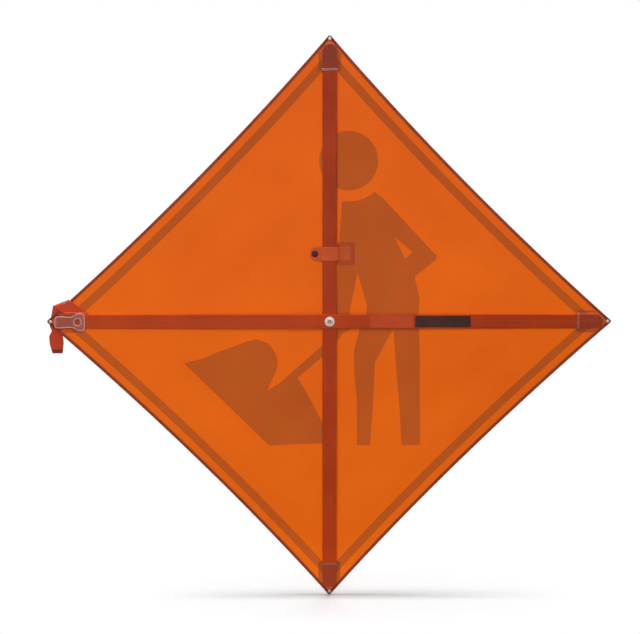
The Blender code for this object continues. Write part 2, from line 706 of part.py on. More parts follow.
def make_snap():
    """A press stud: cap and socket on the strap, stud and eyelet on the cloth."""
    cap_front = KEEPER_END_DEPTH + KEEPER_T / 2 + SEAT
    post_end = SNAP_SOCKET_BACK - SNAP_POST_SHORT
    r, t = SNAP_CAP_R, SNAP_CAP_T
    profile = ((0, post_end), (SNAP_POST_R, post_end), (SNAP_POST_R, cap_front), (r, cap_front))
    profile += ((r, cap_front + 0.3 * t), (0.8 * r, cap_front + 0.8 * t))
    profile += ((0.4 * r, cap_front + t), (0, cap_front + t))
    snap_piece("snap_cap", profile, "black enamel", KEEPER)
    bore = SNAP_SOCKET_BORE_R
    profile = ((bore, SNAP_SOCKET_FRONT), (SNAP_SOCKET_R, SNAP_SOCKET_FRONT))
    profile += ((SNAP_SOCKET_R, SNAP_SOCKET_BACK), (bore, SNAP_SOCKET_BACK))
    snap_piece("snap_socket", profile, "black enamel", KEEPER)
    knob_back = SEAT + SNAP_STUD_T + SNAP_KNOB_T
    eyelet_front = -CLOTH_T - SEAT
    profile = ((0, eyelet_front), (SNAP_SHANK_R, eyelet_front), (SNAP_SHANK_R, SEAT))
    profile += ((SNAP_STUD_R, SEAT), (SNAP_STUD_R, SEAT + SNAP_STUD_T))
    profile += ((SNAP_KNOB_R, SEAT + SNAP_STUD_T), (SNAP_KNOB_R, knob_back), (0, knob_back))
    snap_piece("snap_stud", profile, "black enamel", CENTRE)
    back = eyelet_front - SEAT
    front = back - SNAP_EYELET_T
    r = SNAP_EYELET_R
    profile = ((0, front), (0.7 * r, front), (r, front + RIM), (r, back), (0, back))
    snap_piece("snap_eyelet", profile, "black enamel", CENTRE)


def snap_piece(name, profile, material, pivot):
    if pivot is KEEPER:
        x, z = SNAP_X - KEEPER_HINGE_X, 0
        profile = [(radius, depth - KEEPER_BEND_DEPTH) for radius, depth in profile]
    else:
        x, z = SNAP_X, KEEPER_Z
    add_piece(name, mesh_from(turned(profile, x, z, 20), name), material, pivot)


def make_pull_tab():
    """A fish-tail of clear vinyl over the left pocket, with a finger hole, made from its sewn end."""
    waist = TAB_WAIST - TAB_START
    ease = TAB_WAIST_BEND / 6
    upper = [
        (0, TAB_BODY_HALF_W - TAB_CHAMFER),
        (TAB_CHAMFER, TAB_BODY_HALF_W),
        (waist - TAB_NECK, TAB_BODY_HALF_W - ease / 2),
        (waist - TAB_WAIST_BEND, TAB_WAIST_HALF_W + ease),
        (waist, TAB_WAIST_HALF_W),
        (waist + TAB_WAIST_BEND, TAB_WAIST_HALF_W + ease),
        (TAB_FLARE - TAB_START, TAB_FLARE_HALF_W),
    ]
    corner_x = TAB_END - TAB_START - TAB_CORNER_R
    upper += arc(corner_x, TAB_FLARE_HALF_W - TAB_CORNER_R, TAB_CORNER_R, 80, 10, 6)
    outline = upper + [(x, -z) for x, z in reversed(upper)]
    hole = circle(TAB_HOLE_FROM_TIP - TAB_START, 0, TAB_HOLE_R)
    bm = plate(outline, 0, TAB_T, holes=(hole,))
    add_piece("pull_tab", mesh_from(bm, "pull_tab"), "clear vinyl", TAB)


def make_tie_strap():
    """The tie strap crosses the printed side of the left corner and folds over its upper edge."""
    half = TIE_W / 2
    rise = TIE_BELOW + TIE_ABOVE
    bend_r = (TIE_BACK_RUN - TIE_FRONT_RUN) / 2
    around = arc(rise, TIE_FRONT_RUN + bend_r, bend_r, -90, 90, 6)
    path = [(0, TIE_FRONT_RUN), *around, (TIE_BELOW + TIE_BACK_END, TIE_BACK_RUN)]
    length = sum(math.dist(a, b) for a, b in zip(path, path[1:]))
    outline = [(0, -half), (length, -half), (length, half), (0, half)]
    bm = strap(outline, path)
    for vert in bm.verts:
        along, across = vert.co.x, vert.co.z
        vert.co.x, vert.co.z = across, along
    tie = add_piece("tie_strap", mesh_from(bm, "tie_strap"), "red webbing", TIE, TIE_TILT)
    thicken(tie, TIE_T)

    hook_front = TIE_BACK_RUN + TIE_T / 2 + SEAT
    side = TIE_HOOK_W / 2
    box = rounded_box(-side, rise - TIE_HOOK_L, side, rise, TIE_HOOK_R)
    hook = mesh_from(plate(box, hook_front, hook_front + TIE_HOOK_T), "hook_tape")
    add_piece("tie_strap_hook_tape", hook, "grey hook tape", TIE, TIE_TILT)

    taper = half - TIE_LOOP_TAPER
    end = -TIE_LOOP_LENGTH
    top, shoulder = half - TIE_SHOULDER, -3 * TIE_SHOULDER
    lean = top * math.tan(TIE_TILT)
    outline = [(-top, lean - TIE_BEND_GAP), (-half, shoulder), (-half, end / 2), (-taper, end)]
    outline += [(taper, end), (half, end / 2), (half, shoulder), (top, -lean - TIE_BEND_GAP)]
    mesh = mesh_from(plate(outline, 0, TIE_T), "loop")
    loop = add_piece("tie_strap_loop", mesh, "red webbing", LOOP)
    hem_half = taper + TIE_LOOP_TAPER * TIE_HEM / (TIE_LOOP_LENGTH / 2)
    hem = [(-hem_half, end + TIE_HEM), (-taper, end), (taper, end), (hem_half, end + TIE_HEM)]
    folded = add_cutter("loop_hem", plate(hem, -TIE_HEM_T, TIE_T + TIE_HEM_T), LOOP)
    boolean(loop, folded, "UNION")


clear_scene()
SIGN = make_collection("roll_up_sign")
CUTTERS = make_collection("cutters", visible=False)
MATERIALS = {name: make_material(name) for name in COLOURS}

rivet_reach = HALF - TIP_RIVET_FROM_TIP
TIP_RIVET_PLACES = {
    "tip_rivet_right": (rivet_reach, 0.0),
    "tip_rivet_top": (0.0, rivet_reach),
    "tip_rivet_left": (-rivet_reach, 0.0),
    "tip_rivet_bottom": (0.0, -rivet_reach),
}

# Pivots: the sign's centre, the cross rib's rivet, and the lines where soft pieces bend
CENTRE = make_empty("sign_centre", (0, UPRIGHT_BACK + CLAMP_PROUD, CENTRE_Z))
CROSS = make_empty("cross_rib_pivot", (0, 0, 0), CENTRE)
KEEPER_BEND_DEPTH = KEEPER_LOW + set_back(KEEPER_SEWN_END_X) + KEEPER_T / 2
KEEPER = make_empty("keeper_bend", (KEEPER_HINGE_X, -KEEPER_BEND_DEPTH, KEEPER_Z), CENTRE)
TAB = make_empty("pull_tab_bend", (-HALF + TAB_START, -TAB_FRONT, 0), CENTRE)
TIE = make_empty("tie_strap_foot", (-HALF + TIE_FROM_TIP, 0, -TIE_BELOW), CENTRE)
LOOP = make_empty("tie_loop_bend", (-HALF + TIE_FROM_TIP, -TIE_BEND_DEPTH, -TIE_BELOW), CENTRE)

make_cloth()
make_bindings()
make_upright()
make_cross_rib()
make_pivot()
make_tip_rivets()
make_pockets()
make_keeper()
make_snap()
make_pull_tab()
make_tie_strap()
bpy.context.view_layer.update()
for pivot in (CROSS, KEEPER, TAB, LOOP):
    x, y, z = pivot.matrix_world.translation
    print(f"{pivot.name} at {x:.5f} {y:.5f} {z:.5f}")
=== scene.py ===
# %% [markdown]
# # Looks for a roll-up traffic sign
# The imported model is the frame: it holds every rigid piece at its true size and place, and the bodies that
# move. This script gives each surface its finish and builds the soft pieces, which a solid model only
# stands in for. The sign is seen from behind, where its print shows through the cloth.

import json
import math

import bmesh
import bpy
from mathutils import Matrix, Vector


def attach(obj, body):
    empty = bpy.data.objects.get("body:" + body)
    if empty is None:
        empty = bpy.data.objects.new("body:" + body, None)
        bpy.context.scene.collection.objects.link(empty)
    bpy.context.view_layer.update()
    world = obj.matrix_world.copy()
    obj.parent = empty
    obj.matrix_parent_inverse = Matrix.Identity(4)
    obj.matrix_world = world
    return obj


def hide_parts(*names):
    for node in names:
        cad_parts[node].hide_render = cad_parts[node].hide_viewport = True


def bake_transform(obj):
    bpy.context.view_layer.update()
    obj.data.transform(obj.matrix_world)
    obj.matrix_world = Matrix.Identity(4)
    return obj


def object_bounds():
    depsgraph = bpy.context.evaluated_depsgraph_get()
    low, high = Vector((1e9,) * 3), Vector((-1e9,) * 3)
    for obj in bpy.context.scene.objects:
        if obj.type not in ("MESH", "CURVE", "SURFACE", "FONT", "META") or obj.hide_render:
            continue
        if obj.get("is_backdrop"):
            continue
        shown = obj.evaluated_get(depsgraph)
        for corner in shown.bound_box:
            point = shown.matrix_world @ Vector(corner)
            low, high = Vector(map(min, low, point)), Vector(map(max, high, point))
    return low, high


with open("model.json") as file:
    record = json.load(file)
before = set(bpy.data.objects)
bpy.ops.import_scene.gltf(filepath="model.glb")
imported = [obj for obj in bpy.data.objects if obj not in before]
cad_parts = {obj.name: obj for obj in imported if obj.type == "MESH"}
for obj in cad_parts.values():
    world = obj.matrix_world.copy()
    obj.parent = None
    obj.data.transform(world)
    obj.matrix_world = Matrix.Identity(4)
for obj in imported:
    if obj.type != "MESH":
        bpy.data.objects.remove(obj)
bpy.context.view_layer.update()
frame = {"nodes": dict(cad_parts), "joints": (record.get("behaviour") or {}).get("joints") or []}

# %% [markdown]
# ## The sign's own frame
# The cloth hangs as a diamond, so it is easiest to model from its centre, in millimetres: x to the right, z
# up, and a depth that grows from the cloth's back towards the viewer, along -Y. The cross rib turns about
# that centre, so its joint says where the centre is.

# %% Centre and sizes, in millimetres
MM = 0.001
CENTRE = Vector(next(j["pos_m"] for j in frame["joints"] if j["name"] == "cross_rib_fold"))
TO_ROW = Matrix.Translation(CENTRE) @ Matrix.Scale(MM, 4)
SIDE = 914.4
EDGE_SAG = 14.9
HALF = SIDE / math.sqrt(2)
TIP_CUT = 2.5
TIP = HALF - TIP_CUT
SEAT = 0.3
CLOTH_T = 0.8
RIB_W = 31.75
UPRIGHT_BACK = 9.9
CROSS_FRONT = 12.4
CROSS_BACK = 17.2
SIDE_SET_BACK = 11.0
CORNER_FLAT = 95.0
FLAT_FROM = HALF - CORNER_FLAT
print("centre", tuple(round(v, 5) for v in CENTRE), "tips", round(HALF, 2), "mm out")

# %% [markdown]
# ## The cloth's shape
# The side corners reach out to the cross rib, which lies behind the vertical rib, so the cloth bends back
# towards the sides. Between the ribs the cloth bellies forward a little and carries faint folds along its
# edges. The fold heights are zero at the ribs and at the edges, where the tape and the pockets hold the
# cloth.

# %% Depth of the cloth's back at any point
BELLY = 2.0
FOLD = 0.5
FOLD_PITCH = 160.0
FOLD_LEAN = 3.0


def set_back(x):
    """How far the side corners pull the cloth back: not on the vertical rib, fully at the pockets."""
    if abs(x) >= FLAT_FROM:
        return SIDE_SET_BACK
    return SIDE_SET_BACK * math.sin(math.pi * abs(x) / (2 * FLAT_FROM)) ** 2


def belly(x, z):
    """How far the cloth hangs forward between the ribs, with faint folds along its edges."""
    across, up = abs(x) / HALF, abs(z) / HALF
    edge = max(0.0, 1 - EDGE_SAG / (HALF / math.sqrt(2)) - across - up)
    # Three shares that add up to 1 have a product of 1/27 at most.
    share = (27 * across * up * edge) ** 1.5
    folds = math.sin(2 * math.pi * edge * HALF / FOLD_PITCH + FOLD_LEAN * across)
    return share * (BELLY + FOLD * folds)


def cloth_back(x, z):
    return set_back(x) - belly(x, z)


print("side corners set back", set_back(HALF), "mm, belly", round(belly(215, 215), 2), "mm")

# %% [markdown]
# ## Colours and finishes
# A material starts from what the surface is. Hex colours are what the eye reads on a screen, so one
# function turns them to the linear values that the shader works in. One small function adds a node, with
# its settings and links. The patterns are made of such nodes: sums, two tones, slow changes and yarns.

# %% Colour and node helpers


def linear(code):
    """The linear colour of an sRGB hex code."""
    parts = [int(code[i : i + 2], 16) / 255 for i in (1, 3, 5)]
    return (*[c / 12.92 if c <= 0.04045 else ((c + 0.055) / 1.055) ** 2.4 for c in parts], 1.0)


def add_node(tree, kind, inputs=None, **settings):
    """A node with its settings, and with a value or a link for each input."""
    node = tree.nodes.new(kind)
    for key, value in settings.items():
        setattr(node, key, value)
    for key, value in (inputs or {}).items():
        if isinstance(value, bpy.types.NodeSocket):
            tree.links.new(value, node.inputs[key])
        else:
            node.inputs[key].default_value = value
    return node


def new_finish(name, roughness, **sockets):
    """A material whose Principled shader has these plain values."""
    material = bpy.data.materials.new(name)
    material.use_nodes = True
    shader = material.node_tree.nodes["Principled BSDF"]
    shader.inputs["Roughness"].default_value = roughness
    for socket, value in sockets.items():
        shader.inputs[socket.replace("_", " ")].default_value = value
    return material


def parts_of(material, space="Object"):
    """The material's node tree, its Principled shader and the surface's coordinates."""
    tree = material.node_tree
    return tree, tree.nodes["Principled BSDF"], add_node(tree, "ShaderNodeTexCoord").outputs[space]


print("orange in linear light", [round(v, 3) for v in linear("#e0611a")])

# %% Patterns


def sum_of(tree, *parts):
    """The sum of sockets, each times its weight."""
    total = 0.0
    for socket, weight in parts:
        inputs = {0: socket, 1: weight, 2: total}
        total = add_node(tree, "ShaderNodeMath", inputs, operation="MULTIPLY_ADD").outputs[0]
    return total


def two_tones(tree, factor, dark, light, low, high):
    """A colour between two hex colours, as a factor goes from low to high."""
    share = add_node(tree, "ShaderNodeMapRange", {"Value": factor, "From Min": low, "From Max": high})
    ramp = add_node(tree, "ShaderNodeValToRGB", {"Fac": share.outputs[0]})
    ramp.color_ramp.elements[0].color = linear(dark)
    ramp.color_ramp.elements[1].color = linear(light)
    return ramp.outputs["Color"]


def change_along(tree, place, axis, start, end, low=0.0, high=1.0):
    """A value that goes from low to high between two places along an axis."""
    at = add_node(tree, "ShaderNodeSeparateXYZ", {"Vector": place}).outputs[axis]
    inputs = {"Value": at, "From Min": start, "From Max": end, "To Min": low, "To Max": high}
    return add_node(tree, "ShaderNodeMapRange", inputs).outputs[0]


# A Wave texture of scale 1 repeats at this distance.
WAVE_PERIOD = math.pi / 10


def crossed_yarns(tree, place, directions, pitches):
    """High where two sets of yarns cross, each at its own pitch in millimetres."""
    waves = []
    for direction, pitch in zip(directions, pitches):
        inputs = {"Vector": place, "Scale": WAVE_PERIOD / (pitch * MM)}
        wave = add_node(tree, "ShaderNodeTexWave", inputs, bands_direction=direction)
        waves.append(wave.outputs["Fac"])
    return add_node(tree, "ShaderNodeMath", {0: waves[0], 1: waves[1]}, operation="MULTIPLY").outputs[0]


def dress(tree, shader, colour, height, depth, strength):
    """Gives the shader its colour, and a relief so many millimetres deep from a height."""
    inputs = {"Strength": strength, "Distance": depth * MM, "Height": height}
    relief = add_node(tree, "ShaderNodeBump", inputs)
    tree.links.new(colour, shader.inputs["Base Color"])
    tree.links.new(relief.outputs["Normal"], shader.inputs["Normal"])


print("patterns ready, a wave repeats every", round(WAVE_PERIOD, 3), "units")

# %% [markdown]
# ### Woven finishes
# Cloth, tape and webbing are all yarns that cross. Two Wave textures at the yarns' pitch cross each other,
# their product is high where a yarn comes up, and it drives both a fine relief and a slight darkening
# between the yarns. A broad Noise texture adds the unevenness of dyed or coated cloth. Straps read their
# own UV map, whose unit is a metre along and across the strap, so the yarns bend with them.

# %% Woven finishes


def woven(name, dark, light, pitch, roughness=0.7, uv=False, strength=0.3, depth=0.12, mottle=12.0):
    """Crossed yarns in two tones, with relief, under broad clouds."""
    material = new_finish(name, roughness, Specular_IOR_Level=0.2)
    tree, shader, place = parts_of(material, "UV" if uv else "Object")
    yarn = crossed_yarns(tree, place, "XY" if uv else "XZ", pitch)
    clouds = {"Vector": place, "Scale": mottle, "Detail": 5.0, "Roughness": 0.6}
    cloud = add_node(tree, "ShaderNodeTexNoise", clouds).outputs["Fac"]
    colour = two_tones(tree, sum_of(tree, (yarn, 0.45), (cloud, 1.0)), dark, light, 0.3, 0.95)
    dress(tree, shader, colour, yarn, depth, strength)
    return material


# Thick polyester yarns, 1.6 mm and 1.1 mm apart.
WEBBING = {"pitch": (1.6, 1.1), "uv": True, "strength": 0.6, "depth": 0.3}

# Fine, dull tape: the eye gets a dark outline with hardly any gloss.
BINDING_TAPE = woven("woven_binding_tape", "#652210", "#92371b", (0.9, 0.9), mottle=40.0)
# Webbing has a coarse grain of yarns and a satin look. The patch is painted darker than the strap on it:
# painted shade from the strap that lies over it.
ORANGE_WEBBING = woven("orange_polyester_webbing", "#a23b14", "#c25320", **WEBBING)
SHADED_PATCH_WEBBING = woven("orange_webbing_painted_shade", "#963610", "#ac4416", **WEBBING)
# The tie strap is redder, and its doubled hem is darker still: painted shade, as two layers let less light
# through.
RED_WEBBING = woven("red_polyester_webbing", "#9a2810", "#c0401a", **WEBBING)
SHADED_HEM_WEBBING = woven("red_hem_webbing_painted_shade", "#64180e", "#862616", **WEBBING)
# Rows of small nylon hooks: a grey, rough patch.
HOOK_TAPE = woven(
    "moulded_nylon_hook_tape", "#6f6a68", "#a09a96", (1.0, 1.0), roughness=0.6, strength=0.8, depth=0.4
)
print("woven finishes made")

# %% [markdown]
# ### The sign's cloth
# It is polyester mesh with a bright orange coating. The real yarns are little over a millimetre apart; they
# are drawn 1.6 mm apart, so that they show at all. The light that comes through is warmer towards the
# bottom and the left, so a slow change across the sign joins the noise. Where ink lies on the front, less
# light comes through, and the back looks brown. The front has the same orange, with true black ink.

# %% Cloth and ink finishes
MESH_PITCH = 1.6
SIGN_TOP, SIGN_BOTTOM = CENTRE.z + HALF * MM, CENTRE.z - HALF * MM


def sign_cloth_finish(name, dark, light, roughness=0.55):
    """Crossed yarns and clouds, a little lighter towards the bottom and the left."""
    material = new_finish(name, roughness, Specular_IOR_Level=0.08)
    tree, shader, place = parts_of(material)
    mesh = crossed_yarns(tree, place, "XZ", (MESH_PITCH, MESH_PITCH))
    fall = change_along(tree, place, "Z", SIGN_TOP, SIGN_BOTTOM)
    leftward = change_along(tree, place, "X", HALF * MM, -HALF * MM)
    clouds = {"Vector": place, "Scale": 4.0, "Detail": 6.0, "Roughness": 0.55}
    cloud = add_node(tree, "ShaderNodeTexNoise", clouds).outputs["Fac"]
    total = sum_of(tree, (fall, 0.3), (leftward, 0.05), (cloud, 0.6), (mesh, 0.45))
    colour = two_tones(tree, total, dark, light, 0.375, 1.125)
    dress(tree, shader, colour, mesh, depth=0.15, strength=0.35)
    return material


# Saturated, nearly matt orange, evenly bright.
SIGN_CLOTH = sign_cloth_finish("coated_polyester_mesh", "#d25400", "#f07004")
# The same mesh with less light behind it: a brown shade, with the same grain.
INK_FROM_BEHIND = sign_cloth_finish("ink_seen_through_mesh", "#a4450f", "#c85f18")
# The red strap that lies on the front darkens the cloth in the same way.
STRAP_FROM_BEHIND = sign_cloth_finish("strap_seen_through_mesh", "#9e3a18", "#b84622")
# Screen ink fills the mesh: black, and a little glossier than the cloth.
BLACK_INK = sign_cloth_finish("black_screen_ink", "#0d0b0a", "#181513", roughness=0.4)
print("cloth and ink finishes made")

# %% [markdown]
# ### Fibreglass ribs
# The ribs are pultruded: glass strands are pulled through resin and a die, so every line runs along the
# bar. The Noise texture is stretched along the bar to give those strands, in colour and in a faint
# relief, under a satin skin of resin. The vertical rib and the cross rib need the pattern in different
# directions.

# %% Fibreglass
# A strand is 0.8 mm wide, and its tone changes over a quarter of a metre. A Noise blob is half a unit wide.
STRAND_W = 0.8
STRAND_L = 250.0
BLOB = 0.5
RED_BROWNS = ("#812107", "#aa3b11")


def fibreglass(name, along):
    """Strands along one axis, and painted light: a tone that lightens slowly down the sign."""
    material = new_finish(name, 0.42, Specular_IOR_Level=0.05)
    tree, shader, place = parts_of(material)
    fine, long = BLOB / (STRAND_W * MM), 1 / (STRAND_L * MM)
    stretch = tuple(long if axis == along else fine for axis in "XYZ")
    strands = add_node(tree, "ShaderNodeMapping", {"Vector": place, "Scale": stretch}).outputs[0]
    grain = {"Vector": strands, "Scale": 1.0, "Detail": 4.0}
    strand = add_node(tree, "ShaderNodeTexNoise", grain).outputs["Fac"]
    clouds = {"Vector": place, "Scale": 9.0, "Detail": 4.0}
    cloud = add_node(tree, "ShaderNodeTexNoise", clouds).outputs["Fac"]
    # Painted light: lighter towards the sign's bottom.
    fall = change_along(tree, place, along, SIGN_TOP, SIGN_BOTTOM)
    total = sum_of(tree, (strand, 0.5), (cloud, 0.5), (fall, 0.25))
    dress(tree, shader, two_tones(tree, total, *RED_BROWNS, 0.38, 0.82), strand, depth=0.05, strength=0.2)
    return material


# Red-brown and satin, with fine lines along the bar.
UPRIGHT_FIBREGLASS = fibreglass("pultruded_fibreglass_upright", "Z")
CROSS_FIBREGLASS = fibreglass("pultruded_fibreglass_cross", "X")
print("fibreglass made for both ribs")

# %% [markdown]
# ### Metal, enamel, nylon and films
# The rivets are bright aluminium, with a fine grain that breaks up the reflection. The press stud is brass
# under thin black enamel. Spacer and thread are plain nylon and polyester. The labels are printed films:
# blank here, with a slightly uneven gloss. The pull tab is clear vinyl, and its wide end is painted paler, as
# a painted reflection.

# %% Hard finishes
ENAMEL_SHINE = 0.12
FILM_SHINE = 0.08
VINYL_SHINE = 0.15


def plain_finish(name, dark, light, roughness, scale, **sockets):
    """One material with a mottled colour and a fine relief, both from the same Noise texture."""
    material = new_finish(name, roughness, **sockets)
    tree, shader, place = parts_of(material)
    clouds = {"Vector": place, "Scale": scale, "Detail": 6.0, "Roughness": 0.65}
    cloud = add_node(tree, "ShaderNodeTexNoise", clouds).outputs["Fac"]
    dress(tree, shader, two_tones(tree, cloud, dark, light, 0.3, 0.7), cloud, depth=0.02, strength=0.3)
    return material


# Half-gloss metal: pale, with a soft highlight that the grain breaks up.
ALUMINIUM = plain_finish("bright_aluminium", "#83726b", "#9e8c85", 0.5, scale=400.0, Metallic=1.0)
# Thin warm-black enamel, with a dull shine.
ENAMEL = plain_finish(
    "black_enamel_on_brass", "#240b08", "#38150f", 0.45, scale=300.0, Specular_IOR_Level=ENAMEL_SHINE
)
# Off-white and waxy.
NYLON = plain_finish("moulded_nylon", "#d8d4cc", "#e9e6df", 0.5, scale=80.0)
# Matt thread: small dark stitches on the straps, pale ones on the tab.
THREAD = plain_finish("dark_red_sewing_thread", "#62261a", "#823a22", 0.8, scale=900.0)
PALE_THREAD = plain_finish("pale_sewing_thread", "#b8795c", "#cf9273", 0.8, scale=900.0)
# Printed polyester film: flat colour, slightly uneven gloss.
FILM = {"roughness": 0.4, "scale": 35.0, "Specular_IOR_Level": FILM_SHINE}
ORANGE_FILM = plain_finish("orange_label_film", "#a2360f", "#b04016", **FILM)
BLACK_FILM = plain_finish("black_label_film", "#2e130b", "#3a1a12", **FILM)
# Clear vinyl that only tints what lies under it. Its folded hem is whiter, and so are its thick welded rims,
# whose paler colour is partly a painted highlight.
SMOKY_VINYL = plain_finish(
    "smoky_clear_vinyl", "#6e4034", "#84503f", 0.3, scale=30.0, Specular_IOR_Level=FILM_SHINE, Alpha=0.13
)
PALE_HEM = plain_finish("frosted_vinyl_hem", "#a05c46", "#b47054", 0.4, scale=60.0, Alpha=0.3)
CLEAR_VINYL = plain_finish(
    "clear_vinyl_sheet", "#b4584c", "#ca766a", 0.3, scale=45.0, Specular_IOR_Level=VINYL_SHINE, Alpha=0.2
)
VINYL_RIM = plain_finish("welded_vinyl_rim", "#c4928a", "#dbaea4", 0.3, scale=120.0, Alpha=0.42)
print("hard finishes made:", len(bpy.data.materials), "materials in all")

# %% [markdown]
# ## Making pieces
# Every new piece is a bmesh in the sign's own frame, in millimetres. One function turns it into an object
# in the row's frame, marks the sharp edges, gives it a finish, lets it ride on its body and says which node
# it stands for.

# %% From bmesh to piece
SHARP = math.radians(35)
ROUNDED_FROM = math.radians(50)


def mesh_from(bm, name):
    """A mesh from a bmesh that isn't needed any longer."""
    mesh = bpy.data.meshes.new(name)
    bm.to_mesh(mesh)
    bm.free()
    return mesh


def add_object(name, data):
    """An object in the scene, at the origin."""
    added = bpy.data.objects.new(name, data)
    bpy.context.scene.collection.objects.link(added)
    return added


def make_piece(
    name, bm, finish, body, stands_for=(), thickness=0.0, rounded=0.0, offset=-1.0, smooth=True
):
    """An object from a bmesh, on its body and in place of the nodes it stands for. A thickness grows away
    from the camera.
    """
    bmesh.ops.transform(bm, matrix=TO_ROW, verts=bm.verts[:])
    bmesh.ops.recalc_face_normals(bm, faces=bm.faces[:])
    if thickness and sum(face.normal.y * face.calc_area() for face in bm.faces) > 0:
        bmesh.ops.reverse_faces(bm, faces=bm.faces[:])
    for edge in bm.edges:
        edge.smooth = edge.calc_face_angle(0.0) < SHARP
    for face in bm.faces:
        face.smooth = smooth
    mesh = mesh_from(bm, name)
    mesh.materials.append(finish)
    piece = add_object(name, mesh)
    if thickness:
        solid = piece.modifiers.new("thickness", "SOLIDIFY")
        solid.thickness = thickness * MM
        solid.offset = offset
        solid.use_even_offset = True
    if rounded:
        bevel = piece.modifiers.new("rounded_edge", "BEVEL")
        bevel.width = rounded * MM
        bevel.segments = 2
        bevel.angle_limit = ROUNDED_FROM
    if body:
        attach(piece, body)
    if stands_for:
        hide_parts(*stands_for)
    print(f"{name}: {len(mesh.polygons)} faces")
    return piece


print("edges are sharp from", round(math.degrees(SHARP)), "degrees")

# %% [markdown]
# ### Flat shapes
# Cloth, films and patches start flat, from outlines or a grid. They are cut every few millimetres and laid
# at the depth of what they lie on.

# %% Flat shapes


def cut_at(bm, place, normal, **options):
    """Cuts the whole mesh where it meets a plane."""
    geometry = bm.verts[:] + bm.edges[:] + bm.faces[:]
    bmesh.ops.bisect_plane(bm, geom=geometry, plane_co=place, plane_no=normal, **options)


def cut_across(bm, spacing):
    """Cuts a flat mesh every so many millimetres, so that it can bend."""
    for normal in map(Vector, ((1, 0, 0), (0, 0, 1))):
        reach = [vert.co.dot(normal) for vert in bm.verts]
        count = int((max(reach) - min(reach)) / spacing)
        for step in range(1, count + 1):
            cut_at(bm, normal * (min(reach) + step * spacing), normal, dist=0.001)


def flat_shape(*outlines, spacing=12.0):
    """A flat mesh from outlines of (x, z) points: the first goes round it, any others round its holes."""
    bm = bmesh.new()
    for outline in outlines:
        verts = [bm.verts.new((x, 0, z)) for x, z in outline]
        for pair in zip(verts, verts[1:] + verts[:1]):
            bm.edges.new(pair)
    bmesh.ops.triangle_fill(bm, use_beauty=True, edges=bm.edges[:])
    cut_across(bm, spacing)
    return bm


def lay(bm, depth_at):
    """Moves each point of a flat mesh to the depth that a function gives for its x and z."""
    for vert in bm.verts:
        vert.co.y = -depth_at(vert.co.x, vert.co.z)


print("flat shapes are cut and laid at a depth")

# %% [markdown]
# ### The sign's drawn-in edges
# Each edge is an arc that is drawn in by its sag, so the bindings, the border and the seams along it follow
# the same arc, some way inside it.

# %% The sign's drawn-in edges
EDGE_STEPS = 24
EDGE_RADIUS = (SIDE**2 / 4 + EDGE_SAG**2) / (2 * EDGE_SAG)


def edge_point(sign_x, sign_z, inset, share):
    """A point inside one quarter's drawn-in edge, for a share from -1 at the side tip to 1 at the other."""
    radius = EDGE_RADIUS + inset
    middle = HALF / 2 + (EDGE_RADIUS - EDGE_SAG) / math.sqrt(2)
    reach = math.asin((SIDE / 2 - inset) / radius)
    angle = math.radians(225) - share * reach
    x = middle + radius * math.cos(angle)
    z = middle + radius * math.sin(angle)
    return sign_x * x, sign_z * z


def square_ring(inset):
    """The sign's outline, some way inside its edge."""
    ring = []
    for sign_x, sign_z, way in ((1, 1, 1), (-1, 1, -1), (-1, -1, 1), (1, -1, -1)):
        ring += [edge_point(sign_x, sign_z, inset, way * (2 * i / EDGE_STEPS - 1)) for i in range(EDGE_STEPS)]
    return ring


print("upper right edge from", edge_point(1, 1, 0, -1), "to", edge_point(1, 1, 0, 1))

# %% [markdown]
# ## The cloth
# The cloth is one stretched sheet, cut square and drawn in along its edges. A grid gives it even cells: its
# straight rows are drawn in with the edges, turned to a diamond, and laid at the cloth's depth. Solidify
# adds its thickness.

# %% Cloth
CLOTH_CELLS = 96
EDGE_INSET = 0.9

bm = bmesh.new()
bmesh.ops.create_grid(bm, x_segments=CLOTH_CELLS, y_segments=CLOTH_CELLS, size=1)
for vert in bm.verts:
    right, up = vert.co.x, vert.co.y
    side = SIDE / 2 - EDGE_INSET
    across = right * (side - EDGE_SAG * (1 - up**2))
    rise = up * (side - EDGE_SAG * (1 - right**2))
    vert.co = ((across - rise) / math.sqrt(2), 0, (across + rise) / math.sqrt(2))
for normal in map(Vector, ((1, 0, 0), (-1, 0, 0), (0, 0, 1), (0, 0, -1))):
    cut_at(bm, normal * TIP, normal, clear_outer=True)
lay(bm, cloth_back)
CLOTH = make_piece("sign_cloth_mesh", bm, SIGN_CLOTH, "sign", ["sign_cloth"], CLOTH_T)

# %% [markdown]
# ## The print
# The sign has a black border and the public "workers" symbol, screened on the front. The symbol is the
# standard one, so its outline is a list of points in millimetres from the sign's centre.

# %% Border and symbol outlines
BORDER_FROM = 23.0
BORDER_TO = 41.6
HEAD = (43, 365, 67)
COLLAR_R, COLLAR_FROM, COLLAR_TO = 92, 261.0, 310.0
WORKER = [
    (121, 281), (236, 158), (244, 151), (245, 145), (240, 139), (195, 102), (196, 92), (203, 70),
    (206, 48), (204, 22), (206, -26), (208, -107), (208, -137), (210, -289), (169, -290),
    (167, -288), (160, -177), (152, -96), (149, -40), (146, -21), (142, -25), (104, -97),
    (103, -137), (100, -203), (94, -290), (63, -290), (63, -181), (57, -119), (56, -69), (70, -16),
    (84, 18), (86, 35), (64, 111), (46, 22), (54, -16), (30, -29), (24, -38), (-10, -78),
    (-74, -132), (-53, -166), (-15, -239), (10, -284), (-140, -290), (-334, -97), (-291, -86),
    (-253, -70), (-216, -57), (-191, -47), (-166, -42), (-140, -52), (-123, -76), (-119, -96),
    (-123, -116), (-136, -144), (-143, -161), (-115, -144), (-78, -111), (-10, -51), (14, -30),
    (20, 150), (28, 275),
]
ARM_GAP = [(148, 193), (172, 143), (190, 157)]


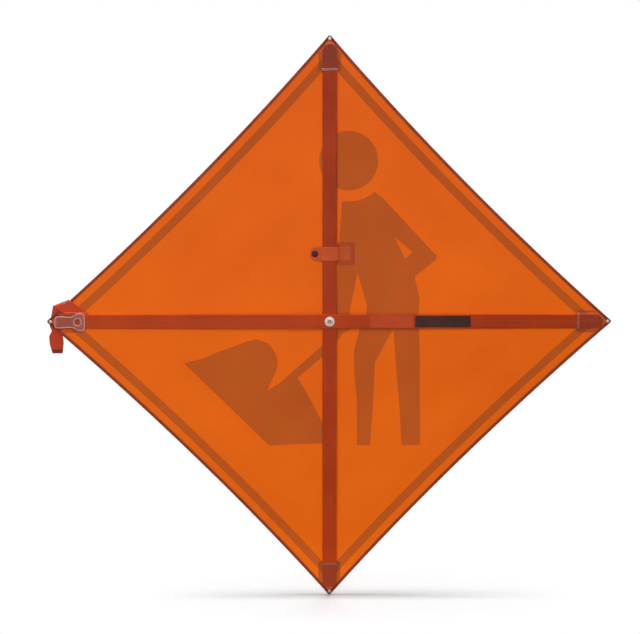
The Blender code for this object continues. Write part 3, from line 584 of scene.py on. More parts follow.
def circle_of(x, z, radius, steps, start=0.0, end=360.0):
    """Points on a circle, or on an arc between two angles, which has both its ends."""
    count = steps if end - start == 360.0 else steps + 1
    angles = [math.radians(start + (end - start) * i / steps) for i in range(count)]
    return [(x + radius * math.cos(a), z + radius * math.sin(a)) for a in angles]


collar = circle_of(HEAD[0], HEAD[1], COLLAR_R, 10, COLLAR_FROM, COLLAR_TO)
shapes = {
    "border": (square_ring(BORDER_FROM), square_ring(BORDER_TO)),
    "head": (circle_of(*HEAD, 48),),
    "worker": (collar + WORKER, ARM_GAP),
}
print("print outlines:", {name: len(outlines[0]) for name, outlines in shapes.items()})

# %% [markdown]
# ### Ink on the front, and its shade on the back
# Each outline is filled, cut every 12 mm so that it can bend, and laid just off the cloth's front, a tenth
# of a millimetre thick. The same shape again, just off its back, is the shade that the ink throws through
# the cloth. Both keep flat shading: the cuts leave slim faces, which smooth shading would draw as streaks.

# %% Ink on the front, and its shade on the back
INK_T = 0.1
INK_GAP = 0.06
ON_FRONT = -CLOTH_T - INK_GAP
ON_BACK = INK_GAP + INK_T


def film(name, outlines, depth, finish):
    """A thin layer on the cloth, cut from its outlines, at a depth from the cloth's back."""
    bm = flat_shape(*outlines)
    lay(bm, lambda x, z: cloth_back(x, z) + depth)
    make_piece(name, bm, finish, "sign", thickness=INK_T, smooth=False)


for name, outlines in shapes.items():
    film(f"ink_{name}", outlines, ON_FRONT, BLACK_INK)
    film(f"ink_shade_{name}", outlines, ON_BACK, INK_FROM_BEHIND)

# %% [markdown]
# ## Bindings, ribs and labels
# Woven tape is folded over each of the four edges and sewn through. The ribs are flat bars sawn to length
# with round ends, and the labels are films stuck on the cross rib. The frame's solids are true to all of
# these, so they keep their shape and get their finishes. The labels stay blank.

# %% Bindings, ribs and labels
BINDINGS = [f"binding_{place}" for place in ("upper_right", "upper_left", "lower_left", "lower_right")]
kept = {name: BINDING_TAPE for name in BINDINGS}
kept |= {"vertical_rib": UPRIGHT_FIBREGLASS, "cross_rib": CROSS_FIBREGLASS}
kept |= {"orange_label": ORANGE_FILM, "black_label": BLACK_FILM}
for name, finish in kept.items():
    finishes = frame["nodes"][name].data.materials
    finishes.clear()
    finishes.append(finish)
    print(f"{name}: {finish.name}")

# %% [markdown]
# ## Straps
# A strap is a narrow grid: its rows run along it and its columns across. The grid's UV map is set first,
# from where each corner is along and across the strap, so that the weave stays with the webbing. Then its
# rows are moved onto a path of (distance, depth) points whose corners are rounded by averaging. Solidify
# gives the webbing its thickness.

# %% Strap helpers


def smooth_path(points, step, passes):
    """The path at even steps, its corners rounded by moving each point towards its neighbours."""
    path = [Vector(points[0])]
    for a, b in zip(map(Vector, points), map(Vector, points[1:])):
        count = max(1, round((b - a).length / step))
        path += [a.lerp(b, i / count) for i in range(1, count + 1)]
    for _ in range(passes):
        inner = [(a + 2 * b + c) / 4 for a, b, c in zip(path, path[1:], path[2:])]
        path = [path[0], *inner, path[-1]]
    return path


def map_weave(bm, along, across):
    """A UV map in metres from two of a flat mesh's own coordinates."""
    layer = bm.loops.layers.uv.new("weave")
    for face in bm.faces:
        for loop in face.loops:
            loop[layer].uv = (loop.vert.co[along] * MM, loop.vert.co[across] * MM)


def webbing(length, half_at, step, columns):
    """A flat strap from x = 0 to its length, with a UV map and a half width for each x."""
    bm = bmesh.new()
    rows = max(2, round(length / step))
    bmesh.ops.create_grid(bm, x_segments=rows, y_segments=columns, size=1)
    for vert in bm.verts:
        along = (vert.co.x + 1) / 2 * length
        vert.co = (along, 0, vert.co.y * half_at(along))
    map_weave(bm, 0, 2)
    return bm


def stations_of(line):
    """The distance along a line at each of its points."""
    stations = [0.0]
    for a, b in zip(line, line[1:]):
        stations.append(stations[-1] + (b - a).length)
    return stations


def place_on(line, stations, along):
    """The point so far along a line, and the step to the next point there, which says its direction."""
    leg = min(max(i for i, s in enumerate(stations) if s <= max(along, 0.0) + 1e-6), len(line) - 2)
    share = (along - stations[leg]) / (stations[leg + 1] - stations[leg])
    return line[leg].lerp(line[leg + 1], min(max(share, 0.0), 1.0)), line[leg + 1] - line[leg]


def bend_along(bm, path):
    """Moves a flat strap onto a path of (x, depth) points: the strap's x is the distance along it."""
    stations = stations_of(path)
    for vert in bm.verts:
        (x, depth), _ = place_on(path, stations, vert.co.x)
        vert.co.x, vert.co.y = x, -depth


def apply_modifiers(piece):
    """Puts the piece's final shape in its mesh."""
    seen = piece.evaluated_get(bpy.context.evaluated_depsgraph_get())
    mesh = bpy.data.meshes.new_from_object(seen)
    piece.modifiers.clear()
    piece.data = mesh


print("strap helpers ready")

# %% [markdown]
# ### Stitches
# Each stitch is a grain of thread about as long as the real one, a sphere with few faces drawn out along
# the seam and half sunk in the cloth. A seam is a row of them along a line of (x, z) points, on a surface
# whose depth a function gives.

# %% Stitches
# Length, radius and pitch.
STITCH = (2.8, 0.45, 4.2)


# One stitch, before it is drawn out.
bm = bmesh.new()
bmesh.ops.create_uvsphere(bm, u_segments=6, v_segments=4, radius=1)
GRAIN = mesh_from(bm, "grain")


def add_seam(bm, line, depth_at, size=STITCH):
    """Adds a row of stitches: copies of one grain, each turned along the seam where it lies."""
    length, radius, pitch = size
    points = [Vector((x, -depth_at(x, z), z)) for x, z in line]
    stations = stations_of(points)
    count = max(1, int(stations[-1] / pitch))
    for i in range(count):
        centre, step = place_on(points, stations, (i + 0.5) * stations[-1] / count)
        turn = step.to_track_quat("Z", "Y").to_matrix().to_4x4()
        stitch = GRAIN.copy()
        stitch.transform(Matrix.Translation(centre) @ turn @ Matrix.Diagonal((radius, radius, length / 2, 1)))
        bm.from_mesh(stitch)
        bpy.data.meshes.remove(stitch)


def make_seams(name, lines, depth_at, thread, body, size=STITCH):
    """One piece from all the stitches along some lines."""
    bm = bmesh.new()
    for line in lines:
        add_seam(bm, line, depth_at, size)
    return make_piece(name, bm, thread, body)


print("one stitch has", len(GRAIN.polygons), "faces")

# %% [markdown]
# ## Corner pockets
# Each rib end sits in a pocket of smoky clear vinyl. The sheet is sewn flat round the rib's end and stands
# over the rib like a tent, so the pocket is one sheet whose height depends on the distance from the rib:
# full height over the rib, then a soft slope, then flat at the seam. It narrows towards the tip with the
# sign. The pocket is modelled at the left tip, with x as the distance from the tip, and turned to the other
# tips.

# %% Shape of a pocket
POCKET_LENGTH = 81.0
POCKET_START = 12.5
SEAM_HALF = 25.2
EDGE_MARGIN = 7.8
RIB_END = 22.0
RIB_PLAY = 0.6
TENT_PLAY = 0.5
TENT_RUN = 2.0
TENT_SLOPE = 0.45
WRINKLE = 0.25
WRINKLE_ALONG, WRINKLE_ACROSS = 5.5, 4.1
SWAY, SWAY_ACROSS = 1.7, 6.0
HEM_HALF = 20.0
HEM_W = 5.0
HEM_T = 0.5
POCKET_T = 0.8
TIP_HALF_ANGLE = math.pi / 4 - math.asin(SIDE / 2 / EDGE_RADIUS)
# Where each one is turned to in degrees, how high it stands over its rib, and how far its tip is set back.
POCKETS = {
    "pocket_left": (0, CROSS_BACK - SIDE_SET_BACK, SIDE_SET_BACK),
    "pocket_top": (90, UPRIGHT_BACK, 0.0),
    "pocket_right": (180, CROSS_BACK - SIDE_SET_BACK, SIDE_SET_BACK),
    "pocket_bottom": (270, UPRIGHT_BACK, 0.0),
}


def off_rib(x, z):
    """The distance outside the rib's footprint, whose end is a half circle."""
    centre = RIB_END + RIB_W / 2
    if x >= centre:
        return abs(z) - RIB_W / 2
    return math.hypot(x - centre, z) - RIB_W / 2


def tent(x, z, height):
    """The height of the pocket's outer face over the cloth."""
    fall = min(max((off_rib(x, z) - RIB_PLAY) / (TENT_SLOPE * height + TENT_RUN), 0.0), 1.0)
    share = 1 - fall * fall * (3 - 2 * fall)
    ripple = math.sin(x / WRINKLE_ALONG + SWAY * math.sin(z / SWAY_ACROSS)) * math.sin(z / WRINKLE_ACROSS)
    return SEAT + POCKET_T + (height + TENT_PLAY - SEAT) * share + max(WRINKLE * ripple * share, 0)


def half_width(x):
    """Half the pocket's width, which stays inside the sign's edge towards the tip."""
    return min(SEAM_HALF, (x - EDGE_MARGIN / math.sin(TIP_HALF_ANGLE)) * math.tan(TIP_HALF_ANGLE))


print("side pockets stand", round(tent(POCKET_LENGTH, 0, CROSS_BACK - SIDE_SET_BACK), 1), "mm high")

# %% Pockets and their hems


def move_to_tip(bm, name):
    """Turns what was made at the left tip to the pocket's own tip, at that tip's depth."""
    degrees, _, base = POCKETS[name]
    turn = Matrix.Rotation(math.radians(degrees), 4, "Y")
    place = Matrix.Translation((0, -base, 0)) @ turn @ Matrix.Translation((-HALF, 0, 0))
    bmesh.ops.transform(bm, matrix=place, verts=bm.verts[:])


def pocket_layer(name, start, half_at, step, columns, rise=0.0):
    """A strip from so far in to the pocket's mouth, laid over the rib."""
    height = POCKETS[name][1]
    bm = webbing(POCKET_LENGTH - start, lambda x: half_at(x + start), step, columns)
    bmesh.ops.translate(bm, vec=(start, 0, 0), verts=bm.verts[:])
    lay(bm, lambda x, z: tent(x, z, height) + rise)
    move_to_tip(bm, name)
    return bm


for name in POCKETS:
    bm = pocket_layer(name, POCKET_START, half_width, step=1.5, columns=36)
    make_piece(f"{name}_sheet", bm, SMOKY_VINYL, "sign", [name], POCKET_T)
    bm = pocket_layer(name, POCKET_LENGTH - HEM_W, lambda x: HEM_HALF, step=1.25, columns=30, rise=HEM_T)
    make_piece(f"{name}_hem", bm, PALE_HEM, "sign", thickness=HEM_T)

# %% [markdown]
# ## Keeper strap
# A webbing strap is sewn to a patch on the right of the vertical rib, crosses the rib and snaps to the cloth
# on the left. It is one piece, from its sewn end to its round free end. The CAD has it as two nodes, which
# meet where the strap bends when it opens.

# %% Keeper strap
KEEPER_Z = 154.0
KEEPER_W = 31.0
KEEPER_T = 1.6
KEEPER_SEWN_END = 48.0
KEEPER_FREE_END = -44.0
KEEPER_BEND = 25.0
KEEPER_LOW = 2.44
KEEPER_HIGH = 11.05
KEEPER_END_DEPTH = 4.6
KEEPER_STEP = 1.2
# Where the strap leaves the cloth, rounds the rib's edge and lies flat on the rib, from the rib's middle.
FOOT, SHOULDER, FLAT = 24.0, 18.5, 15.5
SHOULDER_DEPTH = KEEPER_HIGH - 1.6
BLUNT = 0.02
BLEND_REACH = 2.5

corners = [
    (KEEPER_SEWN_END, KEEPER_LOW), (FOOT, KEEPER_LOW), (SHOULDER, SHOULDER_DEPTH), (FLAT, KEEPER_HIGH),
    (-FLAT, KEEPER_HIGH), (-SHOULDER, SHOULDER_DEPTH), (-FOOT, KEEPER_END_DEPTH),
    (KEEPER_FREE_END, KEEPER_END_DEPTH),
]
path = smooth_path(corners, step=KEEPER_STEP, passes=5)
length = stations_of(path)[-1]
half = KEEPER_W / 2


def keeper_half(along):
    """Straight sides, then a rounded free end, blunt enough to keep its last faces whole."""
    past = max(0.0, along - (length - half)) / half
    return half * math.sqrt(max(1 - past**2, BLUNT))


bm = webbing(length, keeper_half, step=KEEPER_STEP, columns=14)
bend_along(bm, path)
bmesh.ops.translate(bm, vec=(0, 0, KEEPER_Z), verts=bm.verts[:])
keeper = make_piece(
    "keeper_strap_webbing", bm, ORANGE_WEBBING, None,
    thickness=KEEPER_T, rounded=0.35, offset=0.0,
)
apply_modifiers(keeper)
start, end = [TO_ROW @ Vector((KEEPER_BEND + off, 0, KEEPER_Z)) for off in (BLEND_REACH, -BLEND_REACH)]
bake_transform(keeper)
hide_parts("keeper_flap", "keeper_sewn_end")

# %% [markdown]
# ### Keeper patch
# The patch spreads the strap's pull over the cloth. It is a piece of webbing with rounded corners, so it is
# cut from its outline, and its yarns run up and down. Its UV map comes from its flat shape.

# %% Keeper patch
PATCH = (17.5, 57.0, 52.0)
PATCH_T = 0.8
CORNER = 3.0

# Its left and right edges and its height.
left, right, tall = PATCH
bottom, top = KEEPER_Z - tall / 2, KEEPER_Z + tall / 2
outline = [
    *circle_of(right - CORNER, top - CORNER, CORNER, 5, 0, 90),
    *circle_of(left + CORNER, top - CORNER, CORNER, 5, 90, 180),
    *circle_of(left + CORNER, bottom + CORNER, CORNER, 5, 180, 270),
    *circle_of(right - CORNER, bottom + CORNER, CORNER, 5, 270, 359.9),
]
bm = flat_shape(outline, spacing=4.8)
map_weave(bm, 2, 0)
lay(bm, lambda x, z: set_back(x) + SEAT + PATCH_T)
# The patch's darker webbing is painted shade from the strap over it.
make_piece("keeper_patch_webbing", bm, SHADED_PATCH_WEBBING, "sign", ["keeper_patch"], PATCH_T, 0.2)

# %% [markdown]
# ### Seams of the patch and the strap
# The patch is sewn down all round, and the strap by a box with a cross in it, as load-bearing webbing is.

# %% Keeper seams
PATCH_HEM = 2.5
BOX_HEM = 3.0
BOX_FROM, BOX_TO = 28.5, 44.5


def frame_line(x0, x1, z0, z1):
    """A closed rectangle of (x, z) points."""
    return [(x0, z0), (x1, z0), (x1, z1), (x0, z1), (x0, z0)]


edge = frame_line(left + PATCH_HEM, right - PATCH_HEM, bottom + PATCH_HEM, top - PATCH_HEM)
depth = SEAT + PATCH_T
make_seams("keeper_patch_seam", [edge], lambda x, z: set_back(x) + depth, THREAD, "sign")
x0, x1, z0, z1 = BOX_FROM, BOX_TO, KEEPER_Z - half + BOX_HEM, KEEPER_Z + half - BOX_HEM
box = [frame_line(x0, x1, z0, z1), [(x0, z0), (x1, z1)], [(x0, z1), (x1, z0)]]
on_strap = KEEPER_LOW + KEEPER_T / 2
make_seams("keeper_strap_seam", box, lambda x, z: on_strap, THREAD, "sign")

# %% [markdown]
# ## Turned pieces
# Rivets, washers and the press stud are round, so each is a profile of (radius, depth) points spun about
# its own axis. Their nodes in the frame have few sides; these have enough to look round close up. Sheet
# metal that is pressed has rolled rims, so a helper gives half a circle of profile points.

# %% Turned helpers
TURN_STEPS = 48


def turned(profile, x, z):
    """A solid of revolution: a profile that starts off its axis is closed into a ring."""
    bm = bmesh.new()
    verts = [bm.verts.new((radius, -depth, 0)) for radius, depth in profile]
    edges = [bm.edges.new(pair) for pair in zip(verts, verts[1:])]
    if profile[0][0] > 0:
        edges.append(bm.edges.new((verts[-1], verts[0])))
    whole = 2 * math.pi
    bmesh.ops.spin(
        bm, geom=verts + edges, cent=(0, 0, 0), axis=(0, 1, 0), angle=whole, steps=TURN_STEPS, use_merge=True
    )
    bmesh.ops.remove_doubles(bm, verts=bm.verts[:], dist=0.001)
    bmesh.ops.translate(bm, vec=(x, 0, z), verts=bm.verts[:])
    return bm


def make_turned(name, profile, finish, body, x=0.0, z=0.0):
    """A turned piece that takes the place of the node of its name."""
    make_piece(f"{name}_turned", turned(profile, x, z), finish, body, [name])


def rolled(radius, inner, outer, steps=6):
    """A half circle of profile points round a lip, from one depth to the other."""
    r = (outer - inner) / 2
    middle = (inner + outer) / 2
    points = []
    for i in range(steps + 1):
        angle = math.pi * i / steps
        points.append((radius - r + r * math.sin(angle), middle - r * math.cos(angle)))
    return points


print("a rolled lip:", [tuple(round(v, 2) for v in point) for point in rolled(6.5, 19.2, 21.2, 3)])

# %% [markdown]
# ### Centre rivet, washer and spacer
# Both ribs turn on a tubular rivet. Its flange is countersunk in the vertical rib. Its open end is rolled
# over a washer on the cross rib, so the eye finds a bright ring with a dark hole. A nylon spacer keeps the
# ribs apart.

# %% Centre rivet, washer and spacer
RIVET_R = 4.0
BORE_R = 3.2
RING_R = 4.3
WASHER = (17.5, 18.9)
CLINCH = (19.2, 21.2)
SPACER = (UPRIGHT_BACK + SEAT, CROSS_FRONT - SEAT)

top = CLINCH[1]
profile = [(0, 0.6), (8.0, 0.6), (RIVET_R, 2.4), (RIVET_R, CLINCH[0]), (5.5, CLINCH[0])]
profile += [*rolled(6.5, *CLINCH), (5.0, top), (RIVET_R, top - 0.35), (3.4, top - 1.2)]
profile += [(BORE_R, top - 2.4), (BORE_R, top - 12), (0, top - 13)]
make_turned("pivot_rivet", profile, ALUMINIUM, "sign")
for name, radius, (low, high), finish, slot in (
    ("pivot_washer", 11.5, WASHER, ALUMINIUM, "bright_aluminium"),
    ("pivot_spacer", 11.0, SPACER, NYLON, "white_nylon"),
):
    profile = [(RING_R, low), *rolled(radius, low, high), (RING_R, high)]
    make_turned(name, profile, finish, "sign")

# %% [markdown]
# ### Tip rivets
# A small tubular rivet goes through the pocket, the cloth and the tape at each tip. It has a domed head on
# the printed side, and a rolled end with a dimple on the back.

# %% Tip rivets
RIVET_IN = HALF - 9.5
TIP_RIVETS = {"right": (RIVET_IN, 0), "top": (0, RIVET_IN), "left": (-RIVET_IN, 0), "bottom": (0, -RIVET_IN)}

for place, (x, z) in TIP_RIVETS.items():
    front, back = set_back(x) - 2.0, set_back(x) + 1.4
    profile = [(0, front - 1.4), (2.2, front - 1.25), (3.4, front - 0.75), (3.9, front - 0.2)]
    profile += [(3.8, front), (2.0, front), (2.0, back), (3.9, back), (4.0, back + 0.2)]
    profile += [(3.4, back + 0.75), (2.2, back + 1.2), (1.3, back + 1.15), (1.1, back + 0.6), (0, back + 0.5)]
    make_turned(f"tip_rivet_{place}", profile, ALUMINIUM, "sign", x, z)

# %% [markdown]
# ### Press stud
# A press stud has four parts. The cap's post goes through the strap into the socket, so both move with the
# strap. The stud's knob snaps into the socket, and its shank goes through the cloth into an eyelet, so both
# stay on the sign. All four are pressed from brass and enamelled.

# %% Press stud
SNAP_X = -33.5
cap = KEEPER_END_DEPTH + KEEPER_T / 2 + SEAT

cap_profile = [(0, 2.9), (1.6, 2.9), (1.6, cap), (6.9, cap), *rolled(7.5, cap, cap + 0.7, 4)]
cap_profile += [(6.7, cap + 1.0), (5.2, cap + 1.4), (3.0, cap + 1.58), (0, cap + 1.6)]
socket_profile = [(2.7, 1.4), *rolled(6.0, 1.4, 2.3, 4), (4.4, 2.4), (4.2, 3.5), (2.7, 3.5)]
stud_profile = [(0, -1.1), (1.8, -1.1), (1.8, 0.3), *rolled(6.0, 0.3, 1.1, 4)]
stud_profile += [(2.2, 1.1), (2.4, 1.8), (2.1, 2.6), (0, 2.7)]
eyelet_profile = [(0, -2.2), (3.8, -2.2), (5.2, -1.9), (5.5, -1.6), (5.5, -1.4), (0, -1.4)]
for name, profile, body in (
    ("snap_cap", cap_profile, "keeper_strap"),
    ("snap_socket", socket_profile, "keeper_strap"),
    ("snap_stud", stud_profile, "sign"),
    ("snap_eyelet", eyelet_profile, "sign"),
):
    make_turned(name, profile, ENAMEL, body, SNAP_X, KEEPER_Z)

# %% [markdown]
# ## Tie strap
# The strap that ties the rolled sign hangs at the left tip. It comes up across the printed side, folds over
# the corner's upper edge along a slanted crease, and its end lies on the back, tucked beside the pocket.
# Its lower end hangs free, pinched where it leaves the corner. It is laid out flat first, along a leaning
# line.

# %% Tie strap, laid out flat
TIE_FOOT = Vector((-HALF + 20.0, -24.0))
TIE_TILT = math.radians(11)
TIE_HALF = 16.0
TIE_END_HALF = 10.8
TAPER = 22.0
TIE_T = 1.6
TIE_LOOP = 49.0
LOOP_LEAN = 3.5
TIE_LENGTH = 190.0
FRONT_RUN = 6.5
PINCH = 0.42
PINCH_W = 6.5
RIDGE = 1.1
RIDGE_PITCH = 9.0
LOOP_BLEND = (2.0, -3.0)

up = Vector((math.sin(TIE_TILT), math.cos(TIE_TILT)))
tie_ends = [TIE_FOOT + Vector((LOOP_LEAN, -TIE_LOOP)), TIE_FOOT, TIE_FOOT + up * (TIE_LENGTH - TIE_LOOP)]
centre_line = smooth_path(tie_ends, step=1.5, passes=12)


def pinched(along):
    """How much the strap is drawn together: fully at the foot, and not at all a little way off."""
    return math.exp(-(((along - TIE_LOOP - 1) / PINCH_W) ** 2))


def tie_half(along):
    """Half the width: tapered at the hanging end, full in the middle, pinched at the foot."""
    taper = TIE_END_HALF + (TIE_HALF - TIE_END_HALF) * min(along / TAPER, 1) ** 0.8
    return taper * (1 - PINCH * pinched(along))


def lay_out(bm, line):
    """Moves a flat strap onto a line of (x, z) points, with its width square to the line."""
    stations = stations_of(line)
    for vert in bm.verts:
        along, across = min(vert.co.x, stations[-1]), vert.co.z
        point, step = place_on(line, stations, along)
        point += Vector((step.y, -step.x)).normalized() * across
        ridge = RIDGE * pinched(along) * math.cos(2 * math.pi * across / RIDGE_PITCH)
        vert.co = (point.x, -FRONT_RUN - ridge, point.y)


bm = webbing(TIE_LENGTH, tie_half, step=1.5, columns=16)
lay_out(bm, centre_line)
print("tie strap laid out,", len(bm.faces), "faces")

# %% [markdown]
# ### Folding the tie strap
# The strap is folded as paper is: each point past the crease is carried round a half circle and back. Its
# tucked end is cut level, so the cut is the level line's mirror image in the crease. The end rests on the
# pocket's slope, so it is lifted onto that.

# %% Tie strap, folded
CREASE_AT = Vector((-613.5, 38.5))
CREASE_ANGLE = math.radians(21.5)
FOLD_R = 3.5
TUCKED_AT = 19.0

crease = Vector((math.cos(CREASE_ANGLE), math.sin(CREASE_ANGLE)))
over = Vector((-crease.y, crease.x))
half_turn = math.pi * FOLD_R
mirror_at = CREASE_AT + over * (half_turn / 2)
level = Vector((CREASE_AT.x, TUCKED_AT)) - mirror_at
level = mirror_at + 2 * level.dot(crease) * crease - level
cut = Vector((-math.sin(2 * CREASE_ANGLE), math.cos(2 * CREASE_ANGLE)))
cut_at(bm, (level.x, 0, level.y), (cut.x, 0, cut.y), clear_outer=True)
for vert in bm.verts:
    point = Vector((vert.co.x, vert.co.z)) - CREASE_AT
    along, past = point.dot(crease), point.dot(over)
    if past > 0:
        angle = min(past / FOLD_R, math.pi)
        reach = FOLD_R * math.sin(angle) - max(past - half_turn, 0)
        folded = CREASE_AT + crease * along + over * reach
        y = vert.co.y - FOLD_R * (1 - math.cos(angle))
        if past > half_turn:
            over_cloth = tent(folded.x + HALF, folded.y, CROSS_BACK - SIDE_SET_BACK)
            y = min(y, -(SIDE_SET_BACK + over_cloth + TIE_T / 2))
        vert.co = (folded.x, y, folded.y)
tie = make_piece(
    "tie_strap_webbing", bm, RED_WEBBING, None, thickness=TIE_T, rounded=0.35, offset=0.0
)
apply_modifiers(tie)
start, end = [TO_ROW @ Vector((TIE_FOOT.x, 0, TIE_FOOT.y + off)) for off in LOOP_BLEND]
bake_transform(tie)
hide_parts("tie_strap", "tie_strap_loop")

# %% [markdown]
# ### Hem of the tie strap
# The hanging end is turned up and sewn, so a second layer of webbing lies round it. It is painted darker, as
# painted shade: two layers let less light through.

# %% Tie strap's hem
HEM_H = 9.0
HEM_SEAM = 7.0
HEM_OUT = 0.4
HEM_LAYER = 1.1
HEM_SEAM_ENDS = (-11.5, 11.0)
ON_HEM = TIE_T / 2 + 0.6

bottom = TIE_FOOT.y - TIE_LOOP
bm = webbing(HEM_H, lambda along: tie_half(along) + HEM_OUT / 2, step=1.0, columns=12)
for vert in bm.verts:
    lean = LOOP_LEAN * (1 - vert.co.x / TIE_LOOP)
    vert.co = (TIE_FOOT.x + lean + vert.co.z, -FRONT_RUN, bottom + vert.co.x - HEM_OUT)
# Its darker webbing is painted shade.
make_piece(
    "tie_strap_hem", bm, SHADED_HEM_WEBBING, "tie_loop",
    thickness=TIE_T + HEM_LAYER, rounded=0.45, offset=0.0,
)
seam = [(TIE_FOOT.x + LOOP_LEAN + x, bottom + HEM_SEAM) for x in HEM_SEAM_ENDS]
for face, depth in (("back", FRONT_RUN + ON_HEM), ("front", FRONT_RUN - ON_HEM)):
    make_seams(
        f"tie_strap_hem_seam_{face}", [seam], lambda x, z, d=depth: d, THREAD, "tie_loop"
    )

# %% [markdown]
# ### The strap's shade and its hook tape
# The strap on the printed side darkens the cloth as ink does, so a film on the back has its outline. At the
# fold, a small tab of grey hook tape is sewn to the strap. Both are flat shapes cut from their outlines.

# %% Strap shade and hook tape
SHADE = [(-621.5, 14.0), (-599.0, 35.0), (-599.5, 24.0), (-606.0, -10.0), (-612.0, -22.0), (-622.5, -12.5)]
HOOK = [(-4.5, -3.0), (4.5, -3.0), (4.5, 2.2), (3.5, 3.0), (-3.5, 3.0), (-4.5, 2.2)]
HOOK_AT = Vector((-605.5, 43.0))
HOOK_T = 1.1
ON_FOLD = FRONT_RUN + 2 * FOLD_R + TIE_T / 2 + 0.75

film("tie_strap_shade", [SHADE], ON_BACK, STRAP_FROM_BEHIND)
turn = Matrix.Rotation(CREASE_ANGLE, 2)
bm = flat_shape([tuple(HOOK_AT + turn @ Vector(point)) for point in HOOK], spacing=20.0)
lay(bm, lambda x, z: ON_FOLD)
make_piece(
    "tie_strap_hook_tape_cut", bm, HOOK_TAPE, "sign", ["tie_strap_hook_tape"], HOOK_T, 0.2
)

# %% [markdown]
# ## Pull tab
# The left pocket carries a fish-tail of clear vinyl with a finger hole, to pull the pocket off the rib. Its
# edge is welded into a rim that catches the light. The outline's corners are cut off twice, which rounds
# them, and an inset of the flat face makes the rim, in its own finish. The tab stands a little off the
# pocket at its free end.

# %% Pull tab
TAB_DEPTH = 19.1
TAB_T = 1.2
TAB_RIM = 2.0
RIM_RISE = 0.3
TAB_CURL, CURL_FROM, CURL_RUN = 2.0, 45, 42
HOLE_AT = 73.0
HOLE_R = 7.5
TAB_OUTLINE = [
    (20, 9), (24, 12.5), (40, 13), (50, 12), (57, 11.5), (63, 14), (71, 20), (79, 21), (87, 19.5), (90, 13),
    (90, -13), (87, -20), (79, -21), (70, -19), (63, -13.5), (55, -12.5), (40, -14), (24, -14.5), (20, -12),
]


def cut_corners(points, times):
    """Rounds an outline: each corner gives way to two points, a quarter of the way along its sides."""
    for _ in range(times):
        softer = []
        for a, b in zip(points, points[1:] + points[:1]):
            a, b = Vector(a), Vector(b)
            softer += [tuple(a.lerp(b, 0.25)), tuple(a.lerp(b, 0.75))]
        points = softer
    return points


bm = flat_shape(cut_corners(TAB_OUTLINE, 2), circle_of(HOLE_AT, 0, HOLE_R, 32), spacing=200.0)
inset = bmesh.ops.inset_region(
    bm, faces=bm.faces[:], thickness=TAB_RIM, use_even_offset=True, use_boundary=True
)
for face in inset["faces"]:
    face.material_index = 1
    for vert in face.verts:
        vert.co.y = -RIM_RISE
cut_across(bm, 4.0)
for vert in bm.verts:
    vert.co.y -= TAB_DEPTH + TAB_T + TAB_CURL * max((vert.co.x - CURL_FROM) / CURL_RUN, 0) ** 2
bmesh.ops.translate(bm, vec=(-HALF, 0, 0), verts=bm.verts[:])
tab = make_piece("pull_tab_sheet", bm, CLEAR_VINYL, "pull_tab_body", ["pull_tab"], TAB_T)
# The rim's paler finish is partly a painted highlight.
tab.data.materials.append(VINYL_RIM)

# %% [markdown]
# ### Milky end and seam of the pull tab
# The tab's wide end is paler and less clear: a painted reflection. A few more nodes in the vinyl's finish
# raise its alpha along the tab. Two rows of pale stitches hold the other end to the pocket.

# %% Milky end and tab seam
TAB_MILKY = (48.0, 66.0)
TAB_ALPHA = (0.2, 0.34)
TAB_SEAM_AT = 22.5
TAB_SEAM_GAP = 3
TAB_SEAM_OUT = 0.1
TAB_SEAM_LOW, TAB_SEAM_HIGH = -10.5, 8.0

# Painted reflection: the vinyl grows less clear towards the tab's wide end.
tree, shader, place = parts_of(CLEAR_VINYL)
start, end = [(x - HALF) * MM for x in TAB_MILKY]
tree.links.new(change_along(tree, place, "X", start, end, *TAB_ALPHA), shader.inputs["Alpha"])
rows = []
for x in (TAB_SEAM_AT - HALF, TAB_SEAM_AT + TAB_SEAM_GAP - HALF):
    rows.append([(x, TAB_SEAM_LOW), (x, TAB_SEAM_HIGH)])
on_tab = TAB_DEPTH + TAB_T + TAB_SEAM_OUT
make_seams("pull_tab_seam", rows, lambda x, z: on_tab, PALE_THREAD, "pull_tab_body")

# %% [markdown]
# ## Seams of the bindings
# The tape is sewn on along all four edges, so each face of the sign has a row of stitches near the tape's
# inner side. They are the same grains of thread as on the straps, a little longer and thinner.

# %% Binding seams
BINDING_SEAM = 4.6
BINDING_BACK = 0.9
BINDING_FRONT = -1.7
LONG_STITCH = (3.2, 0.4, 5.0)
SEAM_REACH = 0.97

edges = []
for sign_x, sign_z in ((1, 1), (-1, 1), (-1, -1), (1, -1)):
    edges.append([edge_point(sign_x, sign_z, BINDING_SEAM, SEAM_REACH * i / 20) for i in range(-20, 21)])
for face, depth in (("back", BINDING_BACK), ("front", BINDING_FRONT)):
    make_seams(
        f"binding_seam_{face}", edges, lambda x, z, d=depth: set_back(x) + d, THREAD,
        "sign", LONG_STITCH,
    )

# %% [markdown]
# ## Seams of the pockets
# A pocket is sewn down along both sides of its rib, and once across its mouth, where the hem is turned.
# Like the pocket, its seams are laid out at the left tip and turned to the other tips.

# %% Pocket seams
POCKET_SEAM_AT = 23.0
SEAM_FROM = 38.0
MOUTH_SEAM = 1.3
MOUTH_HALF = 19
SEAM_TO = POCKET_LENGTH - 1.5

for name, (_, height, _) in POCKETS.items():
    bm = bmesh.new()
    for z in (-POCKET_SEAM_AT, POCKET_SEAM_AT):
        add_seam(bm, [(SEAM_FROM, z), (SEAM_TO, z)], lambda x, z: SEAT + POCKET_T)
    across = [(POCKET_LENGTH - MOUTH_SEAM, z) for z in range(-MOUTH_HALF, MOUTH_HALF + 1)]
    add_seam(bm, across, lambda x, z: tent(x, z, height) + HEM_T)
    move_to_tip(bm, name)
    make_piece(f"{name}_seam", bm, THREAD, "sign")
